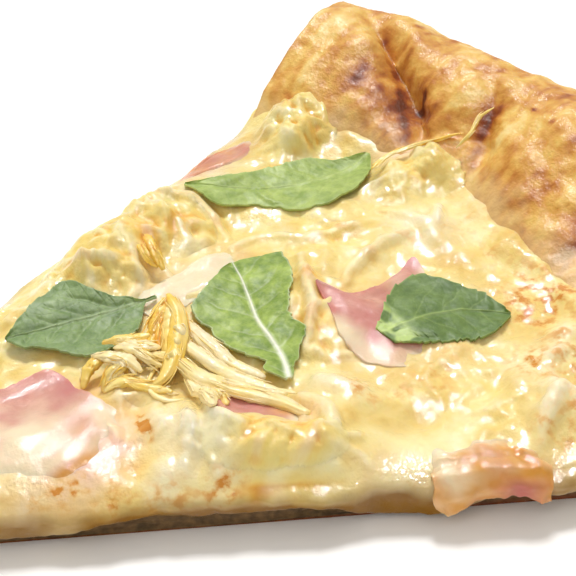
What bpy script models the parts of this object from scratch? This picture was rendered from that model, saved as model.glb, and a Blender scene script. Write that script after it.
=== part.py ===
"""A wedge of a thin round pizza: baked dough with a puffy rim, melted cheese, ham, shredded chicken, leaves."""

import math
import random

import bmesh
import bpy
import numpy as np
from mathutils import Vector
from mathutils.bvhtree import BVHTree

# Driving dimensions, in millimetres and degrees. The wedge points to -X and lies on z = 0.
MM = 0.001
PIZZA_RADIUS = 190.0
HALF_ANGLE = 25.0
TIP_X = -PIZZA_RADIUS / 2
TIP_BLUNT = 4.0
BASE_THICKNESS = 4.0
CHEESE_TOP = 9.0
GAP = 0.3
WALL_GAP = 0.6
COLUMNS = 42
HAM_RINGS = 4
SHRED_SIDES = 5
SHRED_STEPS = 8
LEAF_STEPS_ALONG = 15
LEAF_STEPS_ACROSS = 7
SHARP_ANGLE = 45.0
HAM_THICKNESS = 1.4
LEAF_THICKNESS = 0.6

# The rim across its width: the share of the way from its foot to the outer edge, and the height there.
RIM_PROFILE = [
    (0.00, 4.0), (0.05, 9.0), (0.13, 13.0), (0.24, 16.3), (0.38, 19.8), (0.55, 22.8), (0.72, 24.0),
    (0.86, 22.3), (0.96, 17.5), (1.00, 11.0), (0.985, 5.0), (0.94, 1.5), (0.90, 0.0)]
RIM_HEART = (0.6, 8.0)
# The rim's foot radius, and where it moves out or in along the rim: middle angle, half width, how far.
FOOT_RADIUS = 146.0
FOOT_SHIFTS = [(7.0, 4.0, 6.0), (22.0, 4.0, -3.0)]
# The rim's outer edge between its lobes: how deep each dip is, and two notches as angle, half width, depth.
LOBE_DEPTH = 0.64
LOBES_A_DEGREE = 22.0
NOTCHES = [(10.5, 1.6, 2.6), (-11.0, 1.8, 2.0)]
CONTACT_ROW = 2
CREASE_ONSET = [0.0, 0.25, 0.6]

# Creases of the rim: angle at the middle radius, lean in degrees a millimetre, half width, depth, radius, reach.
CREASES = [
    (15.6, 0.36, 1.9, 0.34, 167.0, 15.0), (6.4, 0.24, 1.4, 0.20, 168.0, 17.0),
    (-7.6, 0.24, 2.0, 0.26, 150.0, 13.0), (-13.0, 0.10, 1.7, 0.22, 172.0, 17.0),
    (-20.5, -0.12, 1.7, 0.18, 166.0, 16.0)]

# Lumps of the cheese over what it has melted round: x, y, half length, half width, turn, height.
MOUNDS = [
    (-13.0, 29.0, 14.0, 7.0, 35.0, 2.2), (2.0, 37.0, 10.0, 7.0, 30.0, 2.2), (-30.0, 24.0, 8.0, 5.0, 25.0, 1.2),
    (41.0, 50.0, 9.0, 8.0, 40.0, 2.6), (56.0, 24.0, 14.0, 6.0, 5.0, 1.8), (-18.0, -21.0, 9.0, 8.0, 60.0, 2.2),
    (-13.0, -34.0, 10.0, 7.0, -25.0, 2.6), (12.0, -7.0, 7.0, 11.0, 0.0, 1.6), (31.0, -50.0, 8.0, 6.0, -25.0, 1.6),
    (-41.0, -8.0, 11.0, 12.0, 10.0, 1.4), (24.0, 6.0, 12.0, 6.0, 15.0, 1.2), (46.0, -38.0, 10.0, 7.0, -30.0, 1.8),
    (-2.0, -30.0, 6.0, 5.0, 20.0, 1.2), (48.0, 4.0, 8.0, 10.0, 10.0, 1.0), (-60.0, -3.0, 9.0, 8.0, 0.0, 1.2),
    (12.0, -36.0, 10.0, 7.0, -15.0, -0.8), (-72.0, 3.0, 6.0, 6.0, 0.0, 0.8)]

# The cheese's lip on a cut side: its height over the table, and how far it bulges out past the cut.
LIP_HEIGHT = 3.3
BULGE = 1.8

# Ham: name, middle, and the corners of its edge in turn.
HAMS = [
    ("ham_near_tip", (-42.0, -8.0), [
        (-33.2, 7.0), (-31.0, -6.7), (-29.5, -16.6), (-36.5, -22.5), (-44.2, -21.3), (-52.5, -17.0),
        (-55.5, -6.0), (-51.0, 3.0), (-42.5, 6.0)]),
    ("ham_middle", (22.5, -13.0), [
        (36.5, 0.4), (30.7, -2.2), (25.6, -4.1), (18.8, -4.8), (15.0, 0.5), (13.4, -6.2), (10.6, -16.0),
        (14.0, -23.6), (20.0, -25.5), (29.0, -26.0), (33.5, -17.0), (34.5, -8.0)]),
    ("ham_under_chicken", (-9.0, -21.0), [
        (-3.5, -19.5), (-9.0, -13.6), (-14.6, -13.5), (-16.0, -20.4), (-12.7, -25.5), (-7.0, -27.3),
        (-3.8, -24.8)]),
    ("ham_far_middle", (-3.0, 15.0), [
        (11.0, 17.5), (7.2, 22.4), (0.5, 21.3), (-8.5, 18.2), (-15.5, 15.5), (-12.5, 9.5), (-3.0, 9.0),
        (6.0, 12.0)]),
    ("ham_far_edge", (23.0, 50.5), [
        (34.3, 55.5), (33.0, 51.0), (27.4, 47.0), (17.9, 46.6), (9.0, 46.4), (16.0, 50.5), (24.5, 54.0)])]

# The ham that folds over the near cut edge: where along the cut it starts and ends, how far it goes in and down.
EDGE_HAM_FROM = 111.5
EDGE_HAM_TO = 130.0
EDGE_HAM_INSIDE = 7.5
EDGE_HAM_HANG = 4.0

# Shredded chicken. A heap has a low core (middle, half length, half width, turn, height) and its shreds that show.
# A shred: start, end, sideways bend, lift at its start, middle and end, width.
HEAPS = {
    "chicken_middle": ((-19.0, -3.0, 10.0, 7.0, 50.0, 3.2), [
        ((-23.0, -11.0), (-11.8, 5.5), -1.5, 2.5, 5.0, 5.0, 3.2),
        ((-15.0, -9.5), (-11.6, 5.2), 3.0, 2.0, 4.2, 5.2, 2.8),
        ((-17.0, 3.5), (-6.6, -17.5), 1.5, 3.0, 3.4, 1.6, 2.8),
        ((-21.0, -2.0), (-2.8, -27.5), -1.8, 3.0, 4.2, 1.4, 3.6),
        ((-24.5, 0.5), (-22.4, -13.5), -2.5, 2.0, 4.4, 1.6, 2.6),
        ((-29.5, -0.5), (-27.0, -10.6), 2.6, 1.2, 2.6, 1.2, 2.4),
        ((-31.0, 4.0), (-18.0, -1.5), -2.0, 1.4, 3.4, 3.0, 2.4),
        ((-27.5, -5.5), (-15.0, -12.5), 2.2, 1.4, 3.6, 1.4, 2.4)]),
    "chicken_far": ((-10.0, 28.5, 13.0, 5.5, 38.0, 3.0), [
        ((-23.0, 28.5), (-10.5, 37.0), 1.6, 1.6, 3.2, 1.4, 3.4),
        ((-10.0, 36.5), (4.5, 42.0), 1.6, 1.4, 3.2, 1.4, 3.4),
        ((-13.0, 34.0), (-9.5, 18.0), -2.0, 2.6, 3.8, 1.4, 3.0),
        ((-4.0, 36.0), (-6.5, 21.0), 1.8, 2.6, 3.8, 1.2, 3.2),
        ((-20.5, 31.0), (-16.5, 20.5), 1.4, 1.6, 3.0, 1.4, 2.8),
        ((2.5, 38.5), (1.5, 25.5), 1.6, 1.4, 3.0, 1.0, 2.8),
        ((-3.5, 27.0), (8.0, 28.5), 1.2, 2.0, 2.2, 1.0, 2.6)]),
    "chicken_rim_end": ((40.5, 50.5, 6.0, 5.0, 40.0, 2.2), [
        ((34.5, 53.0), (47.0, 53.5), 5.0, 1.6, 4.2, 1.6, 3.2),
        ((43.5, 58.5), (37.0, 43.0), -2.4, 1.4, 4.4, 1.4, 3.2),
        ((47.0, 55.0), (45.5, 43.5), 1.6, 1.4, 3.6, 1.0, 3.0),
        ((33.5, 50.5), (40.0, 43.0), -1.8, 1.2, 2.6, 1.0, 2.8)]),
    "chicken_rim": ((54.5, 24.5, 9.0, 4.0, 8.0, 1.6), [
        ((43.5, 24.0), (63.0, 29.5), 1.6, 1.2, 2.6, 1.0, 2.6),
        ((46.0, 21.5), (66.0, 23.5), 2.0, 1.0, 2.6, 1.0, 2.6),
        ((64.0, 24.5), (75.5, 27.0), -0.8, 1.0, 1.2, 0.9, 2.0),
        ((51.0, 17.0), (60.5, 19.5), 1.4, 1.0, 1.8, 0.8, 2.4),
        ((57.5, 31.0), (62.5, 19.5), 1.6, 1.0, 2.2, 0.8, 2.4)]),
    "chicken_near_edge": ((-14.0, -33.0, 7.0, 4.5, -28.0, 2.0), [
        ((-17.0, -28.5), (-13.5, -31.5), 4.2, 1.4, 3.8, 1.4, 2.6),
        ((-22.5, -33.5), (-9.0, -36.0), 1.6, 1.2, 2.8, 1.2, 3.0),
        ((-18.5, -36.0), (-5.0, -39.5), 1.4, 1.0, 2.4, 1.0, 2.8),
        ((-9.0, -29.5), (-7.0, -38.5), 1.6, 1.2, 2.8, 1.2, 2.6),
        ((-21.5, -29.5), (-19.0, -36.0), 1.4, 1.2, 2.4, 1.0, 2.4)])}

# Leaves: the midrib from the stem's end, the half widths to its left and right in equal steps along it,
# the height of the teeth of its edge, how far its sides curl up, and its colour.
LEAVES = {
    "leaf_tip_side": ([(-12.9, 9.2), (-16.0, 9.0), (-24.0, 9.6), (-32.0, 10.6), (-40.0, 11.5)],
                      [0.3, 0.4, 4.0, 7.1, 8.1, 9.4, 10.2, 10.0, 8.8, 6.6, 4.8, 3.6, 0.4],
                      [0.3, 0.5, 2.6, 4.6, 7.8, 11.2, 11.8, 10.6, 9.0, 7.4, 5.2, 2.8, 0.4], 0.25, 1.2),
    "leaf_far": ([(46.5, 30.5), (40.0, 27.5), (30.0, 27.5), (20.0, 31.0), (9.1, 39.9)],
                 [0.6, 2.7, 4.6, 6.5, 7.6, 8.8, 8.8, 7.4, 6.0, 6.3, 5.6, 2.8, 0.3],
                 [0.6, 2.9, 4.4, 7.1, 8.2, 8.4, 8.0, 7.4, 6.3, 5.3, 4.0, 1.6, 0.3], 0.25, 0.8),
    "leaf_middle": ([(-5.9, -24.8), (-4.1, -19.8), (-3.1, -14.4), (-2.4, -8.6), (-0.2, -1.5), (1.5, 4.3),
                     (2.4, 9.0)],
                    [0.5, 3.4, 3.0, 5.4, 7.3, 8.3, 8.8, 10.4, 10.2, 8.8, 6.6, 4.0, 0.5],
                    [0.5, 1.5, 3.0, 4.9, 6.8, 5.7, 6.0, 6.5, 7.4, 8.4, 9.3, 9.7, 6.5], 0.3, 0.9),
    "leaf_rim_side": ([(15.8, -20.0), (20.0, -19.5), (26.0, -20.0), (32.0, -22.0), (38.2, -27.0)],
                      [2.0, 3.4, 5.4, 7.9, 9.6, 11.3, 12.0, 9.8, 7.4, 5.8, 4.3, 2.4, 0.5],
                      [3.0, 4.4, 6.0, 6.9, 7.5, 7.9, 8.3, 8.5, 8.5, 8.2, 7.4, 4.8, 0.5], 0.4, 0.7)}

COLOURS = {
    "baked_crust": ((0.62, 0.30, 0.08), 0.45), "melted_cheese": ((0.80, 0.62, 0.28), 0.30),
    "cooked_ham": ((0.74, 0.36, 0.28), 0.40), "shredded_chicken": ((0.82, 0.60, 0.24), 0.50),
    "leaf_grey_green": ((0.11, 0.19, 0.09), 0.55), "leaf_light_green": ((0.24, 0.38, 0.12), 0.50),
    "leaf_bright_green": ((0.20, 0.36, 0.06), 0.50), "leaf_dark_green": ((0.05, 0.14, 0.04), 0.50)}
LEAF_COLOURS = {"leaf_tip_side": "leaf_grey_green", "leaf_far": "leaf_light_green",
                "leaf_middle": "leaf_bright_green", "leaf_rim_side": "leaf_dark_green"}


def clear_scene():
    """Remove every object of the open scene."""
    for old in list(bpy.data.objects):
        bpy.data.objects.remove(old, do_unlink=True)


def material(name):
    """Return the plain material of this name, made on its first use."""
    if name in bpy.data.materials:
        return bpy.data.materials[name]
    colour, roughness = COLOURS[name]
    made = bpy.data.materials.new(name)
    made.use_nodes = True
    shader = made.node_tree.nodes["Principled BSDF"]
    shader.inputs["Base Color"].default_value = (*colour, 1.0)
    shader.inputs["Roughness"].default_value = roughness
    shader.inputs["Metallic"].default_value = 0.0
    made.diffuse_color = (*colour, 1.0)
    return made


def shade(mesh):
    """Shade a mesh smooth, with its cut edges kept crisp."""
    mesh.shade_smooth()
    mesh.set_sharp_from_angle(angle=math.radians(SHARP_ANGLE))


def solid(name, vertices, faces, material_name):
    """Make a closed body from points in millimetres, with its faces turned out and cut into triangles."""
    mesh = bpy.data.meshes.new(name)
    mesh.from_pydata([tuple(float(value) * MM for value in point) for point in vertices], [], faces)
    tidy = bmesh.new()
    tidy.from_mesh(mesh)
    bmesh.ops.triangulate(tidy, faces=tidy.faces[:])
    bmesh.ops.recalc_face_normals(tidy, faces=tidy.faces[:])
    if tidy.calc_volume(signed=True) < 0:
        bmesh.ops.reverse_faces(tidy, faces=tidy.faces[:])
    tidy.to_mesh(mesh)
    tidy.free()
    made = bpy.data.objects.new(name, mesh)
    bpy.context.scene.collection.objects.link(made)
    made.data.materials.append(material(material_name))
    shade(mesh)
    return made


def smooth_curve(points, steps, closed=False):
    """Points along a Catmull-Rom curve through the given ones, with this many steps from one to the next."""
    given = np.array(points, dtype=float)
    if closed:
        held = np.vstack([given[-1], given, given[0], given[1]])
    else:
        held = np.vstack([2 * given[0] - given[1], given, 2 * given[-1] - given[-2]])
    share = np.linspace(0, 1, steps, endpoint=False)[:, None]
    runs = []
    for a, b, c, d in zip(held[:-3], held[1:-2], held[2:-1], held[3:]):
        runs.append(0.5 * (2 * b + (c - a) * share + (2 * a - 5 * b + 4 * c - d) * share**2
                           + (3 * b - a - 3 * c + d) * share**3))
    if not closed:
        runs.append(held[-2:-1])
    return np.vstack(runs)


def even_points(points, count):
    """This many points at equal distances along a line of points."""
    line = np.array(points, dtype=float)
    run = np.concatenate([[0.0], np.cumsum(np.linalg.norm(np.diff(line, axis=0), axis=1))])
    places = np.linspace(0, run[-1], count)
    return np.stack([np.interp(places, run, line[:, axis]) for axis in range(line.shape[1])], axis=1)


def smooth_step(value):
    """Rise smoothly from 0 to 1 as the value goes from 0 to 1."""
    held = np.clip(value, 0.0, 1.0)
    return held * held * (3 - 2 * held)


def place(radius, angle, height):
    """The point at this radius from the tip and angle in degrees from the wedge's middle line."""
    turn = math.radians(angle)
    return (TIP_X + radius * math.cos(turn), radius * math.sin(turn), height)


def rim_foot(angle):
    """Radius at which the rim rises from the base: it stands back where shreds climb it."""
    return FOOT_RADIUS + sum(out * math.exp(-((angle - at) / half)**2) for at, half, out in FOOT_SHIFTS)


def rim_outer(angle):
    """Outer radius of the rim: 190 at its middle, a little less between its lobes."""
    lobes = LOBE_DEPTH * (math.cos(math.radians(angle * LOBES_A_DEGREE)) - 1.0)
    notch = sum(depth * math.exp(-((angle - at) / half)**2) for at, half, depth in NOTCHES)
    return PIZZA_RADIUS + lobes - notch


def crease_depth(radius, angle):
    """How far the creases draw the rim in at this place, as a share of its thickness there."""
    depth = 0.0
    for middle, lean, width, deepest, at_radius, reach in CREASES:
        off = (angle - middle - lean * (radius - at_radius)) / width
        depth += deepest * math.exp(-off * off) * math.exp(-((radius - at_radius) / reach)**4)
    return depth


def rim_section(angle, grow=0.0):
    """Radius and height of the rim's rows at this angle, each moved out from its heart by grow."""
    foot = rim_foot(angle)
    width = rim_outer(angle) - foot
    heart = np.array([foot + RIM_HEART[0] * width, RIM_HEART[1]])
    swell = 1.0 + 0.035 * math.sin(math.radians(angle * 17.0 + 40.0)) + 0.02 * math.sin(math.radians(angle * 41.0))
    section = []
    for row, (share, height) in enumerate(RIM_PROFILE):
        point = np.array([foot + share * width, height])
        away = point - heart
        free = CREASE_ONSET[row] if row < len(CREASE_ONSET) else 1.0
        if row == len(RIM_PROFILE) - 1:
            free = 0.0
        if 2 <= row <= 8:
            away[1] *= swell
        away *= 1.0 - free * crease_depth(point[0], angle)
        away *= 1.0 + grow / np.linalg.norm(away)
        section.append(heart + away)
    return section


def column_angle(column):
    """Angle of a column of the rim, which is also the end of a row of the cheese."""
    return HALF_ANGLE * (2.0 * column / COLUMNS - 1.0)


def make_crust(name="crust", grow=0.0):
    """The baked dough: a thin flat base and the puffy rim, cut straight down along both sides.

    The rim is its profile carried round the wedge, drawn in at each crease. The base is the flat faces between
    the rim's foot and the blunt tip."""
    rows = len(RIM_PROFILE)
    vertices = []
    for column in range(COLUMNS + 1):
        angle = column_angle(column)
        vertices += [place(radius, angle, height) for radius, height in rim_section(angle, grow)]
    top_tips = [len(vertices), len(vertices) + 1]
    bottom_tips = [len(vertices) + 2, len(vertices) + 3]
    for height in (BASE_THICKNESS + grow, -grow):
        vertices += [place(TIP_BLUNT, -HALF_ANGLE, height), place(TIP_BLUNT, HALF_ANGLE, height)]
    faces = []
    for column in range(COLUMNS):
        for row in range(rows - 1):
            here = column * rows + row
            faces.append((here, here + 1, here + rows + 1, here + rows))
    foot_row = [column * rows for column in range(COLUMNS + 1)]
    edge_row = [column * rows + rows - 1 for column in range(COLUMNS + 1)]
    faces.append(foot_row + [top_tips[1], top_tips[0]])
    faces.append(edge_row + [bottom_tips[1], bottom_tips[0]])
    faces.append([top_tips[0]] + list(range(rows)) + [bottom_tips[0]])
    faces.append([top_tips[1]] + list(range(COLUMNS * rows, (COLUMNS + 1) * rows)) + [bottom_tips[1]])
    faces.append([top_tips[0], top_tips[1], bottom_tips[1], bottom_tips[0]])
    return solid(name, vertices, faces, "baked_crust")


def cheese_height(x, y):
    """Height of the melted cheese: its level, low slow waves, and a lump for each thing it has run over."""
    height = CHEESE_TOP + 0.35 * math.sin(x / 6.1 + y / 9.0) + 0.3 * math.sin(y / 5.3 - x / 11.0 + 1.0)
    for at_x, at_y, length, width, turn, high in MOUNDS:
        along = math.radians(turn)
        u = ((x - at_x) * math.cos(along) + (y - at_y) * math.sin(along)) / length
        v = ((y - at_y) * math.cos(along) - (x - at_x) * math.sin(along)) / width
        height += high * math.exp(-u * u - v * v)
    return height


def cheese_edge(angle):
    """Radius and height at which the cheese meets the rim."""
    radius, height = rim_section(angle)[CONTACT_ROW]
    return radius - WALL_GAP, height


def cheese_point(row, column):
    """A point of the cheese's top: its rows run across the wedge, each one point longer than the last."""
    angle = HALF_ANGLE * (2.0 * column / row - 1.0) if row else 0.0
    edge_radius, edge_height = cheese_edge(angle)
    radius = max(edge_radius * row / COLUMNS, 1.0)
    x, y, _ = place(radius, angle, 0.0)
    height = cheese_height(x, y)
    to_cut = radius * math.sin(math.radians(HALF_ANGLE - abs(angle)))
    height -= (height - CHEESE_TOP + 1.4) * math.exp(-(to_cut / 3.0)**2)
    climb = float(smooth_step((radius - edge_radius + 14.0) / 14.0))**2
    return np.array([x, y, height * (1 - climb) + edge_height * climb])


def drip_bottom(radius, side):
    """How low the cheese hangs on a cut side: it shows a strip of dough, except where it ran down."""
    wave = 0.35 * math.sin(radius / 4.3 + side)
    if side < 0:
        run = 2.7 * math.exp(-((radius - 110.0) / 13.0)**4) + 1.6 * float(smooth_step((62.0 - radius) / 12.0))
    else:
        run = 1.2 * math.exp(-((radius - 60.0) / 14.0)**2) + 1.6 * math.exp(-((radius - 120.0) / 12.0)**2)
    return LIP_HEIGHT + wave - run


def overhang(radius, side):
    """How far the cheese bulges out past a cut side."""
    drip = 0.9 * math.exp(-((radius - 113.0) / 7.0)**2) if side < 0 else 0.0
    return BULGE + 0.5 * math.sin(radius / 5.7 + 2.0 * side) + 0.3 * math.sin(radius / 2.9) + drip


def cheese_ring(row, side, top):
    """The cheese's edge at a cut side, from its top round the bulge and back in under the lip."""
    out = np.array([-math.sin(math.radians(HALF_ANGLE)), side * math.cos(math.radians(HALF_ANGLE))])
    reach = 1.0
    if row == 0:
        out = np.array([-1.0, 0.0])
        reach = 0.4
    radius = math.hypot(top[0] - TIP_X, top[1])
    bulge = overhang(radius, side) * reach
    low = drip_bottom(radius, side)
    lip = GAP + 0.1
    steps = [(0.6 * bulge, top[2] - 1.2), (bulge, 0.5 * (top[2] + low)), (0.65 * bulge, low),
             (lip, low + 0.5), (lip, BASE_THICKNESS + GAP)]
    section = rim_section(side * HALF_ANGLE)
    full_radius = cheese_edge(side * HALF_ANGLE)[0]
    ring = [top]
    for away, height in steps:
        wall = np.interp(height, [section[0][1], section[1][1], section[2][1]],
                         [section[0][0], section[1][0], section[2][0]])
        back = (wall - 1.2) / full_radius
        along = radius * (back if row else 1.0)
        if row:
            foot = np.array([TIP_X + along * math.cos(math.radians(HALF_ANGLE)),
                             side * along * math.sin(math.radians(HALF_ANGLE))])
        else:
            foot = top[:2]
        ring.append(np.array([*(foot + out * away), height]))
    return ring


def cheese_wall(column, top):
    """The cheese's face along the rim, which follows the rim's own facets a hair away."""
    angle = column_angle(column)
    section = rim_section(angle)
    foot, middle, contact = [np.array(point) for point in section[:3]]
    gap = WALL_GAP + (0.3 if column in (1, COLUMNS - 1) else 0.0)
    ring = [top]
    for point in (0.5 * (middle + contact), middle, 0.5 * (foot + middle), 0.8 * foot + 0.2 * middle):
        ring.append(np.array(place(point[0] - gap, angle, point[1])))
    ring.append(np.array(place(foot[0] - gap, angle, BASE_THICKNESS + GAP)))
    return ring


def cutter_ring(ring, grow, low):
    """A ring of the cheese grown sideways for cutting, which then drops straight down."""
    away = ring[2][:2] - ring[0][:2]
    away = away / max(np.linalg.norm(away), 1e-6) * grow
    upper = np.array([*(ring[1][:2] + away), ring[1][2] + 0.5 * grow])
    widest = np.array([*(ring[2][:2] + away), ring[2][2]])
    return [ring[0], upper, widest, np.array([*widest[:2], low])]


def make_cheese(name="cheese", grow=0.0):
    """The melted cheese: a triangular net for its top, rings round its edge, and a flat underside.

    With grow it is the same body made larger all over, to cut toppings so that they rest on the cheese."""
    lift = np.array([0.0, 0.0, grow])
    index = {}
    vertices = []
    for row in range(COLUMNS + 1):
        for column in range(row + 1):
            index[row, column] = len(vertices)
            vertices.append(cheese_point(row, column) + lift)
    faces = []
    for row in range(COLUMNS):
        for column in range(row + 1):
            here = index[row, column]
            faces.append((here, index[row + 1, column], index[row + 1, column + 1]))
            if column:
                faces.append((here, index[row, column - 1], index[row + 1, column]))
    border = [(row, 0) for row in range(COLUMNS + 1)] + [(COLUMNS, column) for column in range(1, COLUMNS)]
    border += [(row, row) for row in range(COLUMNS, 0, -1)]
    rings = []
    for row, column in border:
        top = vertices[index[row, column]]
        if row == COLUMNS and 0 < column < COLUMNS:
            ring = cheese_wall(column, top)
            if grow:
                inward = np.array(place(4.0, column_angle(column), 0.0)) - np.array([TIP_X, 0.0, 0.0])
                ring = [top, top + inward - np.array([0, 0, 0.6]), top + inward - np.array([0, 0, 5.0]),
                        np.array([*(top + inward)[:2], -5.0])]
        else:
            ring = cheese_ring(row, 1 if column else -1, top)
            if grow:
                ring = cutter_ring(ring, grow, -5.0)
        numbers = [index[row, column]]
        for point in ring[1:]:
            numbers.append(len(vertices))
            vertices.append(point)
        rings.append(numbers)
    for left, right in zip(rings, rings[1:] + rings[:1]):
        for level in range(len(left) - 1):
            faces.append((left[level], left[level + 1], right[level + 1], right[level]))
    faces.append([numbers[-1] for numbers in rings])
    return solid(name, vertices, faces, "melted_cheese")


def tree_of(body):
    """A search tree over a body's faces, for finding its height."""
    mesh = body.data
    places = [vertex.co for vertex in mesh.vertices]
    return BVHTree.FromPolygons(places, [list(face.vertices) for face in mesh.polygons])


def height_over(trees, x, y, spread=0.0):
    """The highest point of these bodies at this place, or within this distance of it, in millimetres."""
    offsets = [(0.0, 0.0)]
    if spread:
        offsets += [(spread * math.cos(turn), spread * math.sin(turn)) for turn in np.linspace(0, 5.5, 8)]
    best = None
    for dx, dy in offsets:
        for tree in trees:
            hit = tree.ray_cast(Vector(((x + dx) * MM, (y + dy) * MM, 60.0 * MM)), Vector((0, 0, -1)))[0]
            if hit is not None and (best is None or hit.z / MM > best):
                best = hit.z / MM
    return CHEESE_TOP if best is None else best


def apply_boolean(body, others, operation):
    """Join others to a body, or cut them from it, and keep only the finished mesh."""
    group = bpy.data.collections.new("joined")
    bpy.context.scene.collection.children.link(group)
    for other in others:
        group.objects.link(other)
    change = body.modifiers.new("change", "BOOLEAN")
    change.operation = operation
    change.operand_type = "COLLECTION"
    change.collection = group
    change.solver = "EXACT"
    bpy.context.view_layer.update()
    finished = bpy.data.meshes.new_from_object(body.evaluated_get(bpy.context.evaluated_depsgraph_get()))
    body.modifiers.clear()
    body.data = finished
    bpy.data.collections.remove(group)


def keep_main_body(body):
    """Merge points that fell together, drop loose scraps, and cut what is left into triangles."""
    tidy = bmesh.new()
    tidy.from_mesh(body.data)
    bmesh.ops.remove_doubles(tidy, verts=tidy.verts[:], dist=0.02 * MM)
    bmesh.ops.dissolve_degenerate(tidy, edges=tidy.edges[:], dist=0.01 * MM)
    bmesh.ops.triangulate(tidy, faces=tidy.faces[:])
    left = set(tidy.faces)
    islands = []
    while left:
        queue = [left.pop()]
        island = []
        while queue:
            face = queue.pop()
            island.append(face)
            for edge in face.edges:
                for other in edge.link_faces:
                    if other in left:
                        left.remove(other)
                        queue.append(other)
        islands.append(island)
    islands.sort(key=lambda faces: sum(face.calc_area() for face in faces))
    for island in islands[:-1]:
        bmesh.ops.delete(tidy, geom=island, context="FACES")
    bmesh.ops.delete(tidy, geom=[vertex for vertex in tidy.verts if not vertex.link_faces], context="VERTS")
    tidy.to_mesh(body.data)
    tidy.free()
    shade(body.data)


def make_ham(name, middle, corners, trees, grow=0.0):
    """A torn slice of ham: a thin sheet with a wavy edge, laid over the cheese and following its lumps.

    Rings of points shrink from its smooth outline to its middle. Its underside starts below the cheese's top
    and is cut away later. With grow it is larger all over, to cut what lies on it."""
    outline = smooth_curve(corners, 2, closed=True)
    count = len(outline)
    top = []
    for ring in range(HAM_RINGS):
        share = 1.0 - ring / HAM_RINGS
        for point in outline:
            away = (point - np.array(middle)) * share
            away *= 1.0 + grow / np.linalg.norm(away)
            top.append(np.array(middle) + away)
    top.append(np.array(middle))
    heights = []
    for x, y in top:
        ripple = 0.25 * math.sin(x / 2.3 + y / 3.1) + 0.15 * math.sin(y / 1.7)
        heights.append(height_over(trees, x, y) + GAP + HAM_THICKNESS + ripple + grow)
    vertices = [(x, y, z) for (x, y), z in zip(top, heights)]
    vertices += [(x, y, z - HAM_THICKNESS - GAP - 1.8 - grow) for (x, y), z in zip(top, heights)]
    half = len(top)
    faces = []
    for start in (0, half):
        for ring in range(HAM_RINGS - 1):
            for step in range(count):
                following = (step + 1) % count
                a = start + ring * count + step
                b = start + ring * count + following
                faces.append((a, b, b + count))
                faces.append((a, b + count, a + count))
        last = start + (HAM_RINGS - 1) * count
        for step in range(count):
            faces.append((last + step, last + (step + 1) % count, start + half - 1))
    for step in range(count):
        following = (step + 1) % count
        faces.append((step, following, half + following, half + step))
    return solid(name, vertices, faces, "cooked_ham")


def make_edge_ham(name, trees):
    """The slice of ham that lies on the cheese at the near cut and folds down over its side."""
    out = np.array([-math.sin(math.radians(HALF_ANGLE)), -math.cos(math.radians(HALF_ANGLE))])
    along = np.linspace(EDGE_HAM_FROM, EDGE_HAM_TO, 9)
    outer = []
    inner = []
    for number, radius in enumerate(along):
        share = number / (len(along) - 1)
        inside = EDGE_HAM_INSIDE * (0.55 + 0.45 * math.sin(math.pi * (0.15 + 0.75 * share)))
        hang = EDGE_HAM_HANG * (0.7 + 0.3 * math.sin(7.0 * share + 0.5))
        start = np.array(place(radius, -HALF_ANGLE, 0.0)[:2])
        crest = start - out * 1.5
        rim_height = height_over(trees, *crest) + GAP + HAM_THICKNESS
        bulge = overhang(radius, -1) + GAP + HAM_THICKNESS + 0.2 * math.sin(radius)
        section = []
        for away in (-inside, -inside * 0.7, -inside * 0.4, -1.5):
            spot = start + out * away
            section.append(np.array([*spot, height_over(trees, *spot) + GAP + HAM_THICKNESS]))
        section.append(np.array([*(start + out * bulge * 0.55), rim_height - 0.7]))
        section.append(np.array([*(start + out * bulge), rim_height - 2.4]))
        section.append(np.array([*(start + out * bulge), rim_height - 2.4 - 0.5 * hang]))
        section.append(np.array([*(start + out * (bulge - 0.2)), rim_height - 2.4 - hang * 0.8]))
        outer.append(section)
        turned = [np.array([*point[:2], point[2] - HAM_THICKNESS - 1.8]) for point in section[:4]]
        for point in section[4:]:
            turned.append(np.array([*(point[:2] - out * (HAM_THICKNESS + 1.6)), point[2] - 0.6]))
        inner.append(turned)
    steps = len(outer[0])
    columns = len(along)
    vertices = [point for section in outer + inner for point in section]
    half = columns * steps
    faces = []
    for column in range(columns - 1):
        for step in range(steps - 1):
            a = column * steps + step
            for start in (0, half):
                faces.append((start + a, start + a + 1, start + a + steps + 1))
                faces.append((start + a, start + a + steps + 1, start + a + steps))
    border = [step for step in range(steps)]
    border += [column * steps + steps - 1 for column in range(1, columns)]
    border += [(columns - 1) * steps + step for step in range(steps - 2, -1, -1)]
    border += [column * steps for column in range(columns - 2, 0, -1)]
    for here, following in zip(border, border[1:] + border[:1]):
        faces.append((here, following, half + following, half + here))
    return solid(name, vertices, faces, "cooked_ham")


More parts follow.
